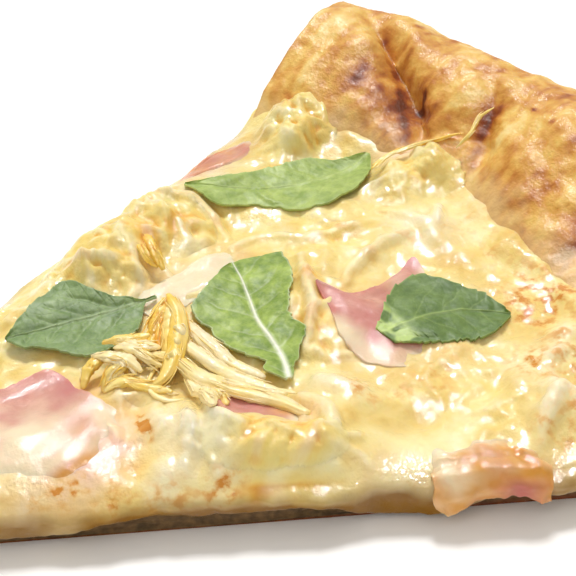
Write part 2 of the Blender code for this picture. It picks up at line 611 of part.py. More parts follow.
def make_core(name, spec, trees):
    """The low dome under a heap of shreds, sunk a little into the cheese's place before it is cut."""
    middle_x, middle_y, length, width, turn, high = spec
    along = math.radians(turn)
    around = 14
    rings = [(1.0, 0.0), (0.8, 0.55), (0.45, 0.9)]
    vertices = []
    for share, rise in rings:
        for turn_step in range(around):
            angle = 2 * math.pi * turn_step / around
            u = length * share * math.cos(angle)
            v = width * share * math.sin(angle)
            x = middle_x + u * math.cos(along) - v * math.sin(along)
            y = middle_y + u * math.sin(along) + v * math.cos(along)
            vertices.append((x, y, height_over(trees, x, y) - 0.3 + high * rise))
    vertices.append((middle_x, middle_y, height_over(trees, middle_x, middle_y) + high))
    rim = vertices[:around]
    vertices += [(x, y, CHEESE_TOP - 3.0) for x, y, _ in rim]
    faces = []
    for ring in range(len(rings) - 1):
        for step in range(around):
            following = (step + 1) % around
            a = ring * around + step
            b = ring * around + following
            faces.append((a, b, b + around, a + around))
    peak = len(rings) * around
    last = (len(rings) - 1) * around
    for step in range(around):
        following = (step + 1) % around
        faces.append((last + step, last + following, peak))
        faces.append((step, peak + 1 + step, peak + 1 + following, following))
    faces.append(list(range(peak + 1, peak + 1 + around)))
    return solid(name, vertices, faces, "shredded_chicken")


def make_shred(spec, trees, draw):
    """One shred of chicken: a flat faceted strip on a bent path over what lies under it, thin at both ends."""
    start, end, bend, lift_from, lift_middle, lift_to, width = spec
    share = np.linspace(0, 1, SHRED_STEPS)
    line = np.array(start) + (np.array(end) - np.array(start)) * share[:, None]
    across = np.array([start[1] - end[1], end[0] - start[0]])
    across = across / np.linalg.norm(across)
    wobble = 0.35 * np.sin(share * 9.0 + draw.uniform(0, 6))
    line = line + across * (bend * np.sin(math.pi * share) + wobble)[:, None]
    lift = np.interp(share, [0, 0.5, 1], [lift_from, lift_middle, lift_to])
    ground = np.array([height_over(trees, x, y) for x, y in line])
    ground = np.convolve(np.pad(ground, 1, mode="edge"), [0.25, 0.5, 0.25], mode="valid")
    centre = np.column_stack([line, ground + lift])
    ahead = np.gradient(centre, axis=0)
    ahead /= np.linalg.norm(ahead, axis=1)[:, None]
    vertices = []
    for step in range(SHRED_STEPS):
        side = np.cross(ahead[step], [0, 0, 1.0])
        side /= np.linalg.norm(side)
        above = np.cross(side, ahead[step])
        thin = 0.45 + 0.55 * math.sin(math.pi * (0.12 + 0.76 * share[step]))
        roll = 0.5 * math.sin(4.0 * share[step] + draw.uniform(-0.2, 0.2))
        for corner in range(SHRED_SIDES):
            turn = 2 * math.pi * corner / SHRED_SIDES + roll
            vertices.append(centre[step] + side * (0.5 * width * thin * math.cos(turn))
                            + above * (0.34 * width * thin * math.sin(turn)))
    faces = []
    for step in range(SHRED_STEPS - 1):
        for corner in range(SHRED_SIDES):
            following = (corner + 1) % SHRED_SIDES
            a = step * SHRED_SIDES + corner
            b = step * SHRED_SIDES + following
            faces.append((a, b, b + SHRED_SIDES, a + SHRED_SIDES))
    faces.append(list(range(SHRED_SIDES)))
    faces.append(list(range((SHRED_STEPS - 1) * SHRED_SIDES, SHRED_STEPS * SHRED_SIDES)))
    return solid("shred", vertices, faces, "shredded_chicken")


def make_heap(name, core_spec, shreds, trees, cutters, draw):
    """A heap of shredded chicken: its core and the shreds that show, joined, and cut to rest on what is below."""
    core = make_core(name, core_spec, trees)
    strips = [make_shred(spec, trees, draw) for spec in shreds]
    apply_boolean(core, strips, "UNION")
    for strip in strips:
        bpy.data.objects.remove(strip, do_unlink=True)
    apply_boolean(core, cutters, "DIFFERENCE")
    keep_main_body(core)
    return core


def make_leaf(name, spec, trees):
    """A limp leaf: its blade runs out from the midrib by the half widths, and rests on the highest things below.

    Its height is the ground's, made smooth and raised until it is clear everywhere, with its sides curled up."""
    rib_points, left_widths, right_widths, tooth, curl = spec
    along = LEAF_STEPS_ALONG
    across = LEAF_STEPS_ACROSS
    rib = even_points(smooth_curve(rib_points, 8), along)
    ahead = np.gradient(rib, axis=0)
    ahead /= np.linalg.norm(ahead, axis=1)[:, None]
    side = np.column_stack([-ahead[:, 1], ahead[:, 0]])
    share = np.linspace(0, 1, along)
    stations = np.linspace(0, 1, len(left_widths))
    teeth = tooth * np.cos(np.arange(along) * math.pi)
    left = np.interp(share, stations, left_widths) + teeth * (share > 0.1) * (share < 0.95)
    right = np.interp(share, stations, right_widths) - teeth * (share > 0.1) * (share < 0.95)
    over = np.linspace(-1, 1, across)
    flat = np.zeros((along, across, 2))
    ground = np.zeros((along, across))
    for step in range(along):
        for number, part in enumerate(over):
            reach = left[step] if part > 0 else right[step]
            flat[step, number] = rib[step] + side[step] * part * reach
            ground[step, number] = height_over(trees, *flat[step, number], spread=1.3)
    held = ground.copy()
    for _ in range(6):
        padded = np.pad(held, 1, mode="edge")
        along_leaf = padded[:-2, 1:-1] + padded[2:, 1:-1]
        held = 0.2 * (padded[1:-1, 1:-1] + along_leaf + padded[1:-1, :-2] + padded[1:-1, 2:])
    held = np.maximum(held, ground) * 0.6 + held * 0.4
    held += max(0.0, float((ground - held).max()))
    wave = 0.35 * np.sin(share * 11.0)[:, None] * np.abs(over)[None, :]
    shape = curl * over[None, :]**2 + wave - 0.3 * (over == 0)
    shape = shape - shape.min()
    bottom = held + GAP + 0.15 + shape
    vertices = [(*flat[step, number], bottom[step, number] + thick)
                for thick in (LEAF_THICKNESS, 0.0) for step in range(along) for number in range(across)]
    half = along * across
    faces = []
    for step in range(along - 1):
        for number in range(across - 1):
            a = step * across + number
            for start in (0, half):
                faces.append((start + a, start + a + 1, start + a + across + 1))
                faces.append((start + a, start + a + across + 1, start + a + across))
    border = list(range(across)) + [step * across + across - 1 for step in range(1, along)]
    border += [(along - 1) * across + number for number in range(across - 2, -1, -1)]
    border += [step * across for step in range(along - 2, 0, -1)]
    for here, following in zip(border, border[1:] + border[:1]):
        faces.append((here, following, half + following, half + here))
    return solid(name, vertices, faces, LEAF_COLOURS[name])


def build():
    """Make the slice from the bottom up: dough, cheese, ham, chicken, leaves."""
    clear_scene()
    draw = random.Random(11)
    crust = make_crust()
    cheese = make_cheese()
    cheese_cutter = make_cheese("cheese_cutter", GAP)
    crust_cutter = make_crust("crust_cutter", GAP + 0.05)
    ground = [tree_of(crust), tree_of(cheese)]
    hams = []
    ham_cutters = []
    for name, middle, corners in HAMS:
        ham = make_ham(name, middle, corners, ground)
        apply_boolean(ham, [cheese_cutter, crust_cutter], "DIFFERENCE")
        keep_main_body(ham)
        hams.append(ham)
        ham_cutters.append(make_ham(name + "_cutter", middle, corners, ground, GAP + 0.15))
    edge_ham = make_edge_ham("ham_near_edge", ground)
    apply_boolean(edge_ham, [cheese_cutter, crust_cutter], "DIFFERENCE")
    keep_main_body(edge_ham)
    hams.append(edge_ham)
    covered = ground + [tree_of(ham) for ham in hams]
    cutters = [cheese_cutter, crust_cutter] + ham_cutters
    heaps = [make_heap(name, core, shreds, covered, cutters, draw) for name, (core, shreds) in HEAPS.items()]
    loaded = covered + [tree_of(heap) for heap in heaps]
    for name, spec in LEAVES.items():
        make_leaf(name, spec, loaded)
    for cutter in cutters:
        bpy.data.objects.remove(cutter, do_unlink=True)


build()
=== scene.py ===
"""The looks of a slice of baked pizza: golden rim, melted cheese, ham, shredded chicken and rocket leaves."""
import math

import bmesh
import bpy
import numpy as np
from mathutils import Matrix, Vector


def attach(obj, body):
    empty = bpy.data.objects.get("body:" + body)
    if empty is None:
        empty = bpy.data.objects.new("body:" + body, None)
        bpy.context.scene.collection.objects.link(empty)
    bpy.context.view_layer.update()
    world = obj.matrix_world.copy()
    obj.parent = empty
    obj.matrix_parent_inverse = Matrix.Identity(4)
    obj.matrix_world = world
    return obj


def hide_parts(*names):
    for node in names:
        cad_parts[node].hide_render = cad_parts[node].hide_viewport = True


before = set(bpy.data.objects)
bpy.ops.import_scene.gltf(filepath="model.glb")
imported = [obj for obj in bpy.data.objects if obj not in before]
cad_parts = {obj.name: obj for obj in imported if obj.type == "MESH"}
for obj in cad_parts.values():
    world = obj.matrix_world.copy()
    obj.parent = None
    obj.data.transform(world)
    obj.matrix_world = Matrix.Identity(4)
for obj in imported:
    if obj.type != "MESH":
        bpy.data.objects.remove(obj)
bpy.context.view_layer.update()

# The dough
# A thin base and a puffy rim of wheat dough, baked in a hot oven: golden, paler on top, red-brown in folds.
# The rim is its profile carried round the wedge, drawn in at the folds. Both sides are cut with a wheel.

MM = 0.001
PIZZA_RADIUS = 190.0
HALF_ANGLE = 25.0
TIP_X = -PIZZA_RADIUS / 2
TIP_BLUNT = 4.0
BASE_THICKNESS = 4.0
RIM_PROFILE = [
    (0.00, 4.0), (0.05, 9.0), (0.13, 13.0), (0.24, 16.3), (0.38, 19.8), (0.55, 22.8), (0.72, 24.0),
    (0.86, 22.3), (0.96, 17.5), (1.00, 11.0), (0.985, 5.0), (0.94, 1.5), (0.90, 0.0)]
RIM_HEART = (0.6, 8.0)
RIM_WIDTH = 44.0
# The radius of the rim's middle, and how many millimetres a degree measures there.
RIM_RADIUS = 168.0
DEGREE_AT_RIM = 2.9
# Folds of the rim: angle, lean in degrees a millimetre, half width in degrees, depth as a share, the radius
# at which the angle holds, and how far the fold reaches from there.
FOLDS = [
    (15.4, 0.38, 1.8, 0.34, 164.0, 13.0), (7.2, 0.20, 1.2, 0.16, 164.0, 8.0),
    (-7.6, 0.24, 2.0, 0.28, 150.0, 13.0), (-13.0, 0.10, 2.2, 0.16, 172.0, 17.0),
    (-20.5, -0.12, 2.0, 0.15, 166.0, 16.0)]
# Pale blisters of the skin: angle, radius, half width along the rim, half length across it, and height.
BLISTERS = [
    (19.8, 162.0, 3.0, 6.5, 0.45), (22.8, 168.0, 2.2, 5.0, 0.3), (10.4, 166.0, 4.0, 6.0, 0.5),
    (5.0, 163.0, 3.4, 6.5, 0.45), (1.0, 168.0, 3.5, 5.5, 0.4), (-3.5, 161.0, 3.2, 6.0, 0.5),
    (13.0, 178.0, 3.0, 5.0, 0.3), (-12.0, 163.0, 4.0, 5.0, 0.4), (-18.0, 170.0, 4.0, 6.0, 0.4),
    (22.0, 155.0, 2.2, 3.0, 0.3)]

# Darker marks on the rim: angle, radius, half width along the rim and half length across it, and how much.
MARKS = [
    (13.4, 164.3, 0.7, 0.7, 0.8), (5.0, 170.5, 0.9, 0.5, 0.7), (2.6, 169.1, 0.5, 0.8, 0.6),
    (7.5, 166.5, 1.8, 4.5, 0.4), (-4.6, 157.5, 3.0, 5.0, 0.3), (-6.0, 153.0, 2.0, 3.0, 0.35),
    (16.6, 161.0, 1.5, 1.6, 0.3), (18.6, 158.5, 2.6, 3.0, 0.2), (17.9, 179.5, 1.5, 1.3, 0.55),
    (21.5, 181.0, 4.0, 1.6, 0.25), (11.5, 186.0, 7.0, 1.4, 0.2), (18.6, 158.0, 6.38, 8.0, 0.2),
    (-1.0, 155.0, 8.7, 5.0, 0.2)]


def soft_step(value):
    """Rise smoothly from 0 to 1 as the value goes from 0 to 1."""
    held = np.clip(value, 0.0, 1.0)
    return held * held * (3.0 - 2.0 * held)


def hills(u, v, size, seed, layers=3):
    """Random hills: smooth noise of this size in millimetres, each finer layer half as wide and high."""
    total = np.zeros(np.broadcast(u, v).shape)
    for layer in range(layers):
        table = np.random.default_rng(seed * 17 + layer).random((64, 64)) * 2.0 - 1.0
        turn = 0.7 + 1.9 * layer + seed
        a = (u * math.cos(turn) - v * math.sin(turn)) / size * 2.0**layer + 31.7
        b = (u * math.sin(turn) + v * math.cos(turn)) / size * 2.0**layer + 12.3
        i = np.floor(a).astype(int)
        j = np.floor(b).astype(int)
        s = soft_step(a - i)
        t = soft_step(b - j)
        near = table[i % 64, j % 64] * (1 - s) + table[(i + 1) % 64, j % 64] * s
        far = table[i % 64, (j + 1) % 64] * (1 - s) + table[(i + 1) % 64, (j + 1) % 64] * s
        total = total + (near * (1 - t) + far * t) * 0.5**layer
    return total


def curve_through(points, count):
    """This many even points on a Catmull-Rom curve through the given ones, measured along its length."""
    given = np.array(points, dtype=float)
    held = np.vstack([2 * given[0] - given[1], given, 2 * given[-1] - given[-2]])
    share = np.linspace(0, 1, 24, endpoint=False)[:, None]
    runs = [0.5 * (2 * b + (c - a) * share + (2 * a - 5 * b + 4 * c - d) * share**2
                   + (3 * b - a - 3 * c + d) * share**3)
            for a, b, c, d in zip(held[:-3], held[1:-2], held[2:-1], held[3:])]
    line = np.vstack(runs + [given[-1:]])
    run = np.concatenate([[0.0], np.cumsum(np.linalg.norm(np.diff(line, axis=0), axis=1))])
    places = np.linspace(0, run[-1], count)
    return np.stack([np.interp(places, run, line[:, axis]) for axis in range(line.shape[1])], axis=1)


def rim_foot(angle):
    """Radius at which the rim rises from the base."""
    return 146.0 + 6.0 * np.exp(-((angle - 7.0) / 4.0)**2) - 3.0 * np.exp(-((angle - 22.0) / 4.0)**2)


def rim_outer(angle):
    """Outer radius of the rim, a little less between its lobes."""
    lobes = 0.64 * np.cos(np.radians(angle * 22.0)) - 0.64
    notch = -1.3 * np.exp(-((angle - 10.5) / 2.2)**2) - 1.6 * np.exp(-((angle + 11.0) / 2.2)**2)
    return PIZZA_RADIUS + lobes + notch


def fold_depth(radius, angle, narrow=1.0):
    """How far the folds draw the rim in, as a share: a bell-shaped valley along each leaning line."""
    depth = 0.0
    for middle, lean, width, deepest, at_radius, reach in FOLDS:
        off = (angle - middle - lean * (radius - at_radius)) / (width * narrow)
        depth = depth + deepest * np.exp(-off * off) * np.exp(-((radius - at_radius) / reach)**4)
    return depth


def rim_point(angle, share, height):
    """Radius and height of the rim's surface where its profile has this share of its width and this height.

    The profile swells a little along the rim, and the folds draw it in towards the rim's heart."""
    foot = rim_foot(angle)
    width = rim_outer(angle) - foot
    middle = foot + RIM_HEART[0] * width
    away = foot + share * width - middle
    up = height - RIM_HEART[1]
    swell = 0.035 * np.sin(np.radians(angle * 17.0 + 40.0)) + 0.02 * np.sin(np.radians(angle * 41.0))
    up = up * (1.0 + swell * soft_step((height - 9.0) / 4.0) * soft_step((1.0 - share) / 0.1 + 0.4))
    onset = np.where(share < 0.5, soft_step(share / 0.2), soft_step(height / 6.0))
    depth = fold_depth(middle + away, angle) + 0.15 * fold_depth(middle + away, angle, 0.38)
    draw = 1.0 - onset * np.minimum(depth, 0.6)
    return middle + away * draw, RIM_HEART[1] + up * draw


def to_row(radius, angle, height):
    """Points in the row frame, in millimetres, from radius about the tip, angle in degrees, and height."""
    turn = np.radians(angle)
    x = TIP_X + radius * np.cos(turn)
    return np.stack(np.broadcast_arrays(x, radius * np.sin(turn), height), axis=-1)


def normals_of(grid, closed=False):
    """Unit normals of a grid of points, from the cross product of its two directions."""
    first = np.gradient(grid, axis=0)
    if closed:
        wide = np.concatenate([grid[:, -1:], grid, grid[:, :1]], axis=1)
        second = (wide[:, 2:] - wide[:, :-2]) * 0.5
    else:
        second = np.gradient(grid, axis=1)
    cross = np.cross(first, second)
    return cross / np.maximum(np.linalg.norm(cross, axis=-1, keepdims=True), 1e-9)


def make_piece(name, points, faces, fields=None, replaced=()):
    """Put points in millimetres and faces into a mesh, with a number for each point in each named field.

    Faces are arrays of corner numbers with three or four columns. The faces are turned to point out."""
    vertices = np.asarray(points, dtype=np.float64).reshape(-1, 3) * MM
    mesh = bpy.data.meshes.new(name)
    corners = np.concatenate([np.asarray(block, dtype=np.int32).ravel() for block in faces])
    sizes = np.concatenate([np.full(len(block), block.shape[1], dtype=np.int32) for block in faces])
    mesh.vertices.add(len(vertices))
    mesh.vertices.foreach_set("co", vertices.astype(np.float32).ravel())
    mesh.loops.add(len(corners))
    mesh.loops.foreach_set("vertex_index", corners)
    mesh.polygons.add(len(sizes))
    starts = np.concatenate([[0], np.cumsum(sizes)[:-1]]).astype(np.int32)
    mesh.polygons.foreach_set("loop_start", starts)
    mesh.update(calc_edges=True)
    for field, values in (fields or {}).items():
        layer = mesh.attributes.new(field, "FLOAT", "POINT")
        layer.data.foreach_set("value", np.asarray(values, dtype=np.float32).ravel())
    tidy = bmesh.new()
    tidy.from_mesh(mesh)
    if tidy.calc_volume(signed=True) < 0:
        bmesh.ops.reverse_faces(tidy, faces=tidy.faces[:])
        tidy.to_mesh(mesh)
    tidy.free()
    mesh.shade_smooth()
    piece = bpy.data.objects.new(name, mesh)
    bpy.context.scene.collection.objects.link(piece)
    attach(piece, "root")
    if replaced:
        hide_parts(*replaced)
    return piece


def grid_faces(rows, columns, wrap=False, start=0):
    """The four-cornered faces of a grid of points stored row by row, joined round its columns if it wraps."""
    index = np.arange(rows * columns).reshape(rows, columns) + start
    if wrap:
        index = np.concatenate([index, index[:, :1]], axis=1)
    return np.stack([index[:-1, :-1], index[1:, :-1], index[1:, 1:], index[:-1, 1:]], axis=-1).reshape(-1, 4)


def cut_face(loop, numbers, start, outward, layers, rough):
    """The cut side inside a loop of points: rows from its upper half to its lower half, roughened like crumb.

    The loop's first half runs along the top and its second half back along the bottom. A point's height goes
    evenly from one to the other, and its place by the fourth power of that share, so it stays in the loop.
    Both ends close in fans."""
    half = len(loop) // 2
    top = loop[:half]
    bottom = loop[half:][::-1]
    share = np.linspace(0, 1, layers + 1)[1:-1][:, None, None]
    moved = np.concatenate([share**4, share**4, share], axis=2)
    inner = top[None, 1:-1] * (1 - moved) + bottom[None, 1:-1] * moved
    depth = rough(inner[..., 0] / math.cos(math.radians(HALF_ANGLE)), inner[..., 2])
    inner = inner - outward * (depth * np.sin(np.pi * share[..., 0])**0.4)[..., None]
    columns = half - 2
    own = np.arange(inner.shape[0] * columns).reshape(-1, columns) + start
    index = np.vstack([numbers[:half][1:-1][None], own, numbers[half:][::-1][1:-1][None]])
    quads = np.stack([index[:-1, :-1], index[1:, :-1], index[1:, 1:], index[:-1, 1:]], axis=-1).reshape(-1, 4)
    fans = []
    for column, upper, lower in ((0, numbers[0], numbers[-1]), (-1, numbers[half - 1], numbers[half])):
        ends = index[:, column]
        turn = -1 if column == 0 else 1
        for step in range(layers):
            held = upper if step < layers // 2 else lower
            fans.append([held, ends[step], ends[step + 1]][::turn])
        fans.append([upper, ends[layers // 2], lower][::turn])
    return inner.reshape(-1, 3), quads, np.array(fans)


def linear(code):
    """An sRGB hex colour as linear red, green, blue and alpha."""
    parts = [int(code[i:i + 2], 16) / 255.0 for i in (1, 3, 5)]
    return (*[part / 12.92 if part <= 0.04045 else ((part + 0.055) / 1.055)**2.4 for part in parts], 1.0)


def add_node(tree, kind, inputs=None, stops=None, **settings):
    """Add one node. Inputs are values, or outputs that feed it; stops are a ramp's places and colours."""
    made = tree.nodes.new(kind)
    for name, value in settings.items():
        setattr(made, name, value)
    for name, value in (inputs or {}).items():
        if isinstance(value, bpy.types.NodeSocket):
            tree.links.new(value, made.inputs[name])
        else:
            made.inputs[name].default_value = value
    for number, (at, colour) in enumerate(stops or []):
        ramp = made.color_ramp.elements
        stop = ramp[number] if number < 2 else ramp.new(at)
        stop.position = at
        stop.color = linear(colour)
    return made


def new_material(name, **values):
    """A material whose Principled shader's sockets hold these values, named with underscores for spaces."""
    made = bpy.data.materials.new(name)
    made.use_nodes = True
    shader = made.node_tree.nodes["Principled BSDF"]
    for socket, value in values.items():
        shader.inputs[socket.replace("_", " ")].default_value = value
    return made, made.node_tree, shader


NOISE = "ShaderNodeTexNoise"
RAMP = "ShaderNodeValToRGB"
MIX = "ShaderNodeMix"
MATH = "ShaderNodeMath"
BUMP = "ShaderNodeBump"
FIELD = "ShaderNodeAttribute"
SCALED = "ShaderNodeMapRange"

# Rows round the section: along the base's top, over the rim, and back along the underside.
profile = curve_through([(share * RIM_WIDTH, height) for share, height in RIM_PROFILE], 150)
rim_share = profile[:, 0] / RIM_WIDTH
rim_height = profile[:, 1]
widest = int(np.argmax(profile[:, 0]))
dough_angle = np.linspace(-HALF_ANGLE, HALF_ANGLE, 241)[:, None]
rim_radius, rim_z = rim_point(dough_angle, rim_share[None], rim_height[None])
along_rim = dough_angle * math.pi / 180.0 * RIM_RADIUS
across_rim = np.concatenate([[0.0], np.cumsum(np.linalg.norm(np.diff(profile, axis=0), axis=1))])[None]
rim = to_row(rim_radius, dough_angle, rim_z)
rim_normal = normals_of(rim)
if rim_normal[rim_normal.shape[0] // 2, rim_normal.shape[1] // 2, 2] < 0:
    rim_normal = -rim_normal
puffs = 0.75 * hills(along_rim, across_rim, 9.0, 3, 2) + 0.28 * hills(along_rim, across_rim, 3.4, 5, 2)
wrinkles = 0.5 * np.abs(hills(along_rim * 0.5, across_rim, 4.5, 8, 2))
near_fold = soft_step(fold_depth(rim_radius, dough_angle, 1.8) / 0.12)
skin = 0.08 * hills(along_rim, across_rim, 0.9, 9, 2)
free = soft_step(rim_height[None] / 4.0 - 0.2)


def rim_spot(at, reach, wide, long):
    """A smooth oval spot on the rim: the bell curve of the distance from its middle, in its own size."""
    return np.exp(-((dough_angle - at) * DEGREE_AT_RIM / wide)**2 - ((rim_radius - reach) / long)**2)


blisters = sum(high * rim_spot(*place) for *place, high in BLISTERS) * (rim_share[None] < 0.85)
rim = rim + rim_normal * ((puffs - 0.5 * wrinkles * (0.3 + near_fold) + skin + blisters) * free)[..., None]
# The two ends of the rim stay in the planes of the cut sides.
for side in (0, -1):
    turn = math.radians(dough_angle[side, 0])
    reach = (rim[side, :, 0] - TIP_X) * math.cos(turn) + rim[side, :, 1] * math.sin(turn)
    rim[side, :, 0] = TIP_X + reach * math.cos(turn)
    rim[side, :, 1] = reach * math.sin(turn)

half_rows = 190
top_share = np.linspace(0, 1, half_rows - widest - 1, endpoint=False)[None, :, None]
tip_top = to_row(TIP_BLUNT, dough_angle, BASE_THICKNESS)
tip_bottom = to_row(TIP_BLUNT, dough_angle, 0.0)
top_part = tip_top * (1 - top_share) + rim[:, :1] * top_share
bottom_rows = half_rows - (rim.shape[1] - widest - 1)
bottom_share = np.linspace(0, 1, bottom_rows + 1)[None, 1:, None]
bottom_part = rim[:, -1:] * (1 - bottom_share) + tip_bottom * bottom_share
dough = np.concatenate([top_part, rim[:, :widest + 1], rim[:, widest + 1:], bottom_part], axis=1)
rows, columns = dough.shape[:2]


def crumb_depth(u, v):
    """How deep the open crumb lies on a cut side: hills, with holes where other hills are high."""
    return 0.35 + 0.3 * hills(u, v, 3.0, 21, 3) + 0.5 * soft_step(hills(u, v, 2.4, 23, 2) * 3.0 - 0.6)


dough_points = [dough.reshape(-1, 3)]
dough_faces = [grid_faces(rows, columns, wrap=True)]
next_point = rows * columns
for side, row in ((-1, 0), (1, rows - 1)):
    out = np.array([-math.sin(math.radians(HALF_ANGLE)), side * math.cos(math.radians(HALF_ANGLE)), 0.0])
    numbers = np.arange(columns) + row * columns
    inner, quads, fans = cut_face(dough[row], numbers, next_point, out, 20, crumb_depth)
    if side > 0:
        quads = quads[:, ::-1]
        fans = fans[:, ::-1]
    dough_points.append(inner)
    dough_faces += [quads, fans]
    next_point += len(inner)
dough_points = np.concatenate(dough_points)

# How brown the dough is, from 0 to 1: more in folds and marks, less on blisters, dark along the lower edge.
rim_rows = slice(top_part.shape[1], top_part.shape[1] + rim.shape[1])
bake = np.full((rows, columns), 0.42)
bake_rim = 0.46 - 0.15 * soft_step((dough_angle - 14.0) / 7.0)
bake_rim = bake_rim + 0.17 * hills(along_rim, across_rim, 11.0, 31, 3)
bake_rim += 0.13 * hills(along_rim, across_rim, 3.0, 32, 3)
bake_rim -= 0.55 * blisters
bake_rim += 0.12 * hills(along_rim, across_rim / 3.0, 1.7, 36, 3)
for *place, darker in MARKS:
    bake_rim += darker * rim_spot(*place)
bake_rim += 0.5 * fold_depth(rim_radius, dough_angle, 0.9) * soft_step((rim_share[None] - 0.02) / 0.1)
bake_rim += 0.85 * fold_depth(rim_radius, dough_angle, 0.26)
bake_rim += 0.12 * soft_step((rim_share[None] - 0.9) / 0.1) - 0.10 * soft_step((rim_share[None] - 0.45) / 0.3)
bake_rim += 0.22 * soft_step((5.0 - rim_height[None]) / 5.0) * (rim_share[None] > 0.5)
bake[:, rim_rows] = bake_rim
under = soft_step((0.25 - dough[..., 2]) / 0.25)
bake = bake * (1 - under) + under * (0.5 + 0.3 * hills(dough[..., 0], dough[..., 1], 7.0, 33, 4))

# Where the dough is cut open, how thin it is there, and where a film of cheese reaches up the rim.
crumb = np.zeros(len(dough_points))
crumb[rows * columns:] = 1.0
inner_part = dough_points[rows * columns:]
inner_radius = np.hypot(inner_part[:, 0] - TIP_X, inner_part[:, 1])
# The thin base's cut side, under the cheese that hangs over it, gets a dark crumb: painted shade.
thin_base_shade = soft_step((152.0 - inner_radius) / 8.0) + soft_step((1.4 - inner_part[:, 2]) / 1.4)
for row in (0, -1):
    bake[row] = np.where(dough[row, :, 2] < 1.0, 0.95, bake[row])
bake = np.concatenate([bake.ravel(), 0.1 + 0.8 * thin_base_shade.clip(0, 1)])
filmed = np.zeros((rows, columns))
film_reach = 0.22 + 0.06 * hills(along_rim, across_rim, 5.0, 34, 3)
filmed[:, rim_rows] = soft_step((film_reach - rim_share[None]) / 0.12)
filmed = np.concatenate([filmed.ravel(), np.zeros(len(dough_points) - rows * columns)])

# Baked wheat dough: a dry skin with a thin oily shine on the rim, and a dull open crumb where it is cut.
# Its skin is mottled every 2.4 mm and pitted every 0.8 mm, and the crumb's tints change every 1.4 mm.
dough_finish, tree, shader = new_material(
    "baked_wheat_dough", Roughness=0.5, IOR=1.45, Specular_IOR_Level=0.3, Subsurface_Weight=0.15,
    Subsurface_Scale=0.0012, Subsurface_Radius=(1.0, 0.5, 0.2), Coat_Weight=0.2, Coat_Roughness=0.2)
place_at = add_node(tree, "ShaderNodeTexCoord").outputs["Object"]
baked = add_node(tree, FIELD, attribute_name="bake").outputs["Fac"]
cut = add_node(tree, FIELD, attribute_name="crumb").outputs["Fac"]
mottle = add_node(tree, NOISE, {"Vector": place_at, "Scale": 420.0, "Detail": 4.0}).outputs["Fac"]
mixed = add_node(tree, MATH, {0: mottle, 1: 0.55, 2: baked}, operation="MULTIPLY_ADD").outputs[0]
shifted = add_node(tree, MATH, {0: mixed, 1: 0.275}, operation="SUBTRACT").outputs[0]
skin_colour = add_node(tree, RAMP, {"Fac": shifted}, stops=[
    (0.0, "#F2D68E"), (1.0, "#6E3416"), (0.24, "#EBC066"), (0.44, "#DAA04A"), (0.62, "#C27C30"),
    (0.82, "#93481C")])
crumb_tint = add_node(tree, NOISE, {"Vector": place_at, "Scale": 700.0, "Detail": 3.0}).outputs["Fac"]
crumb_colour = add_node(tree, RAMP, {"Fac": crumb_tint}, stops=[(0.3, "#D1A968"), (0.7, "#F0DBAB")])
# The near-black crumb of the thin base is painted shade.
painted_shade_crumb = add_node(tree, RAMP, {"Fac": crumb_tint}, stops=[(0.35, "#2E1A06"), (0.7, "#6E4818")])
crumb_mix = add_node(tree, MIX, {0: baked, 6: crumb_colour.outputs[0], 7: painted_shade_crumb.outputs[0]},
                     data_type="RGBA").outputs[2]
thin_cheese = add_node(tree, FIELD, attribute_name="film").outputs["Fac"]
film_share = add_node(tree, MATH, {0: thin_cheese, 1: 0.6}, operation="MULTIPLY").outputs[0]
skin_mix = add_node(tree, MIX, {0: film_share, 6: skin_colour.outputs[0], 7: linear("#EBCF98")},
                    data_type="RGBA").outputs[2]
colour = add_node(tree, MIX, {0: cut, 6: skin_mix, 7: crumb_mix}, data_type="RGBA").outputs[2]
tree.links.new(colour, shader.inputs["Base Color"])
# Roughness swings with the mottle, so the shine breaks up.
shine = add_node(tree, SCALED, {"Value": mottle, "To Min": 0.34, "To Max": 0.62}).outputs[0]
tree.links.new(shine, shader.inputs["Roughness"])
pores = add_node(tree, NOISE, {"Vector": place_at, "Scale": 1300.0, "Detail": 4.0}).outputs["Fac"]
bump = add_node(tree, BUMP, {"Height": pores, "Strength": 0.6, "Distance": 0.0003}).outputs["Normal"]
tree.links.new(bump, shader.inputs["Normal"])
tree.links.new(bump, shader.inputs["Coat Normal"])

crust = make_piece("baked_dough", dough_points, dough_faces, {"bake": bake, "crumb": crumb, "film": filmed},
                   ["crust"])
crust.data.materials.append(dough_finish)

# The cheese
# Melted cheese poured over the base and over part of the chicken and ham, browned a little near the rim.
# Its height is worked out on one fine net over the whole wedge, and the same net carries the toppings later.

CHEESE_TOP = 9.0
NET_STEP = 0.35
# How far up the rim the cheese runs, as a share of the rim's width.
CHEESE_ENDS = 0.13
# Lumps and dips of the cheese's top: x, y, half length, half width, turn, height.
MOUNDS = [
    (-13.0, 29.0, 14.0, 7.0, 35.0, 2.2), (2.0, 37.0, 10.0, 7.0, 30.0, 2.2),
    (-30.0, 24.0, 8.0, 5.0, 25.0, 1.2), (41.0, 50.0, 9.0, 8.0, 40.0, 2.6),
    (56.0, 24.0, 14.0, 6.0, 5.0, 1.8), (-18.0, -21.0, 9.0, 8.0, 60.0, 2.2),
    (-13.0, -34.0, 10.0, 7.0, -25.0, 2.6), (12.0, -7.0, 7.0, 11.0, 0.0, 1.6),
    (31.0, -50.0, 8.0, 6.0, -25.0, 1.6), (-41.0, -8.0, 11.0, 12.0, 10.0, 1.4),
    (24.0, 6.0, 12.0, 6.0, 15.0, 1.2), (46.0, -38.0, 10.0, 7.0, -30.0, 1.8),
    (-2.0, -30.0, 6.0, 5.0, 20.0, 1.2), (48.0, 4.0, 8.0, 10.0, 10.0, 1.0),
    (-60.0, -3.0, 9.0, 8.0, 0.0, 1.2), (12.0, -36.0, 10.0, 7.0, -15.0, -0.8),
    (-72.0, 3.0, 6.0, 6.0, 0.0, 0.8)]
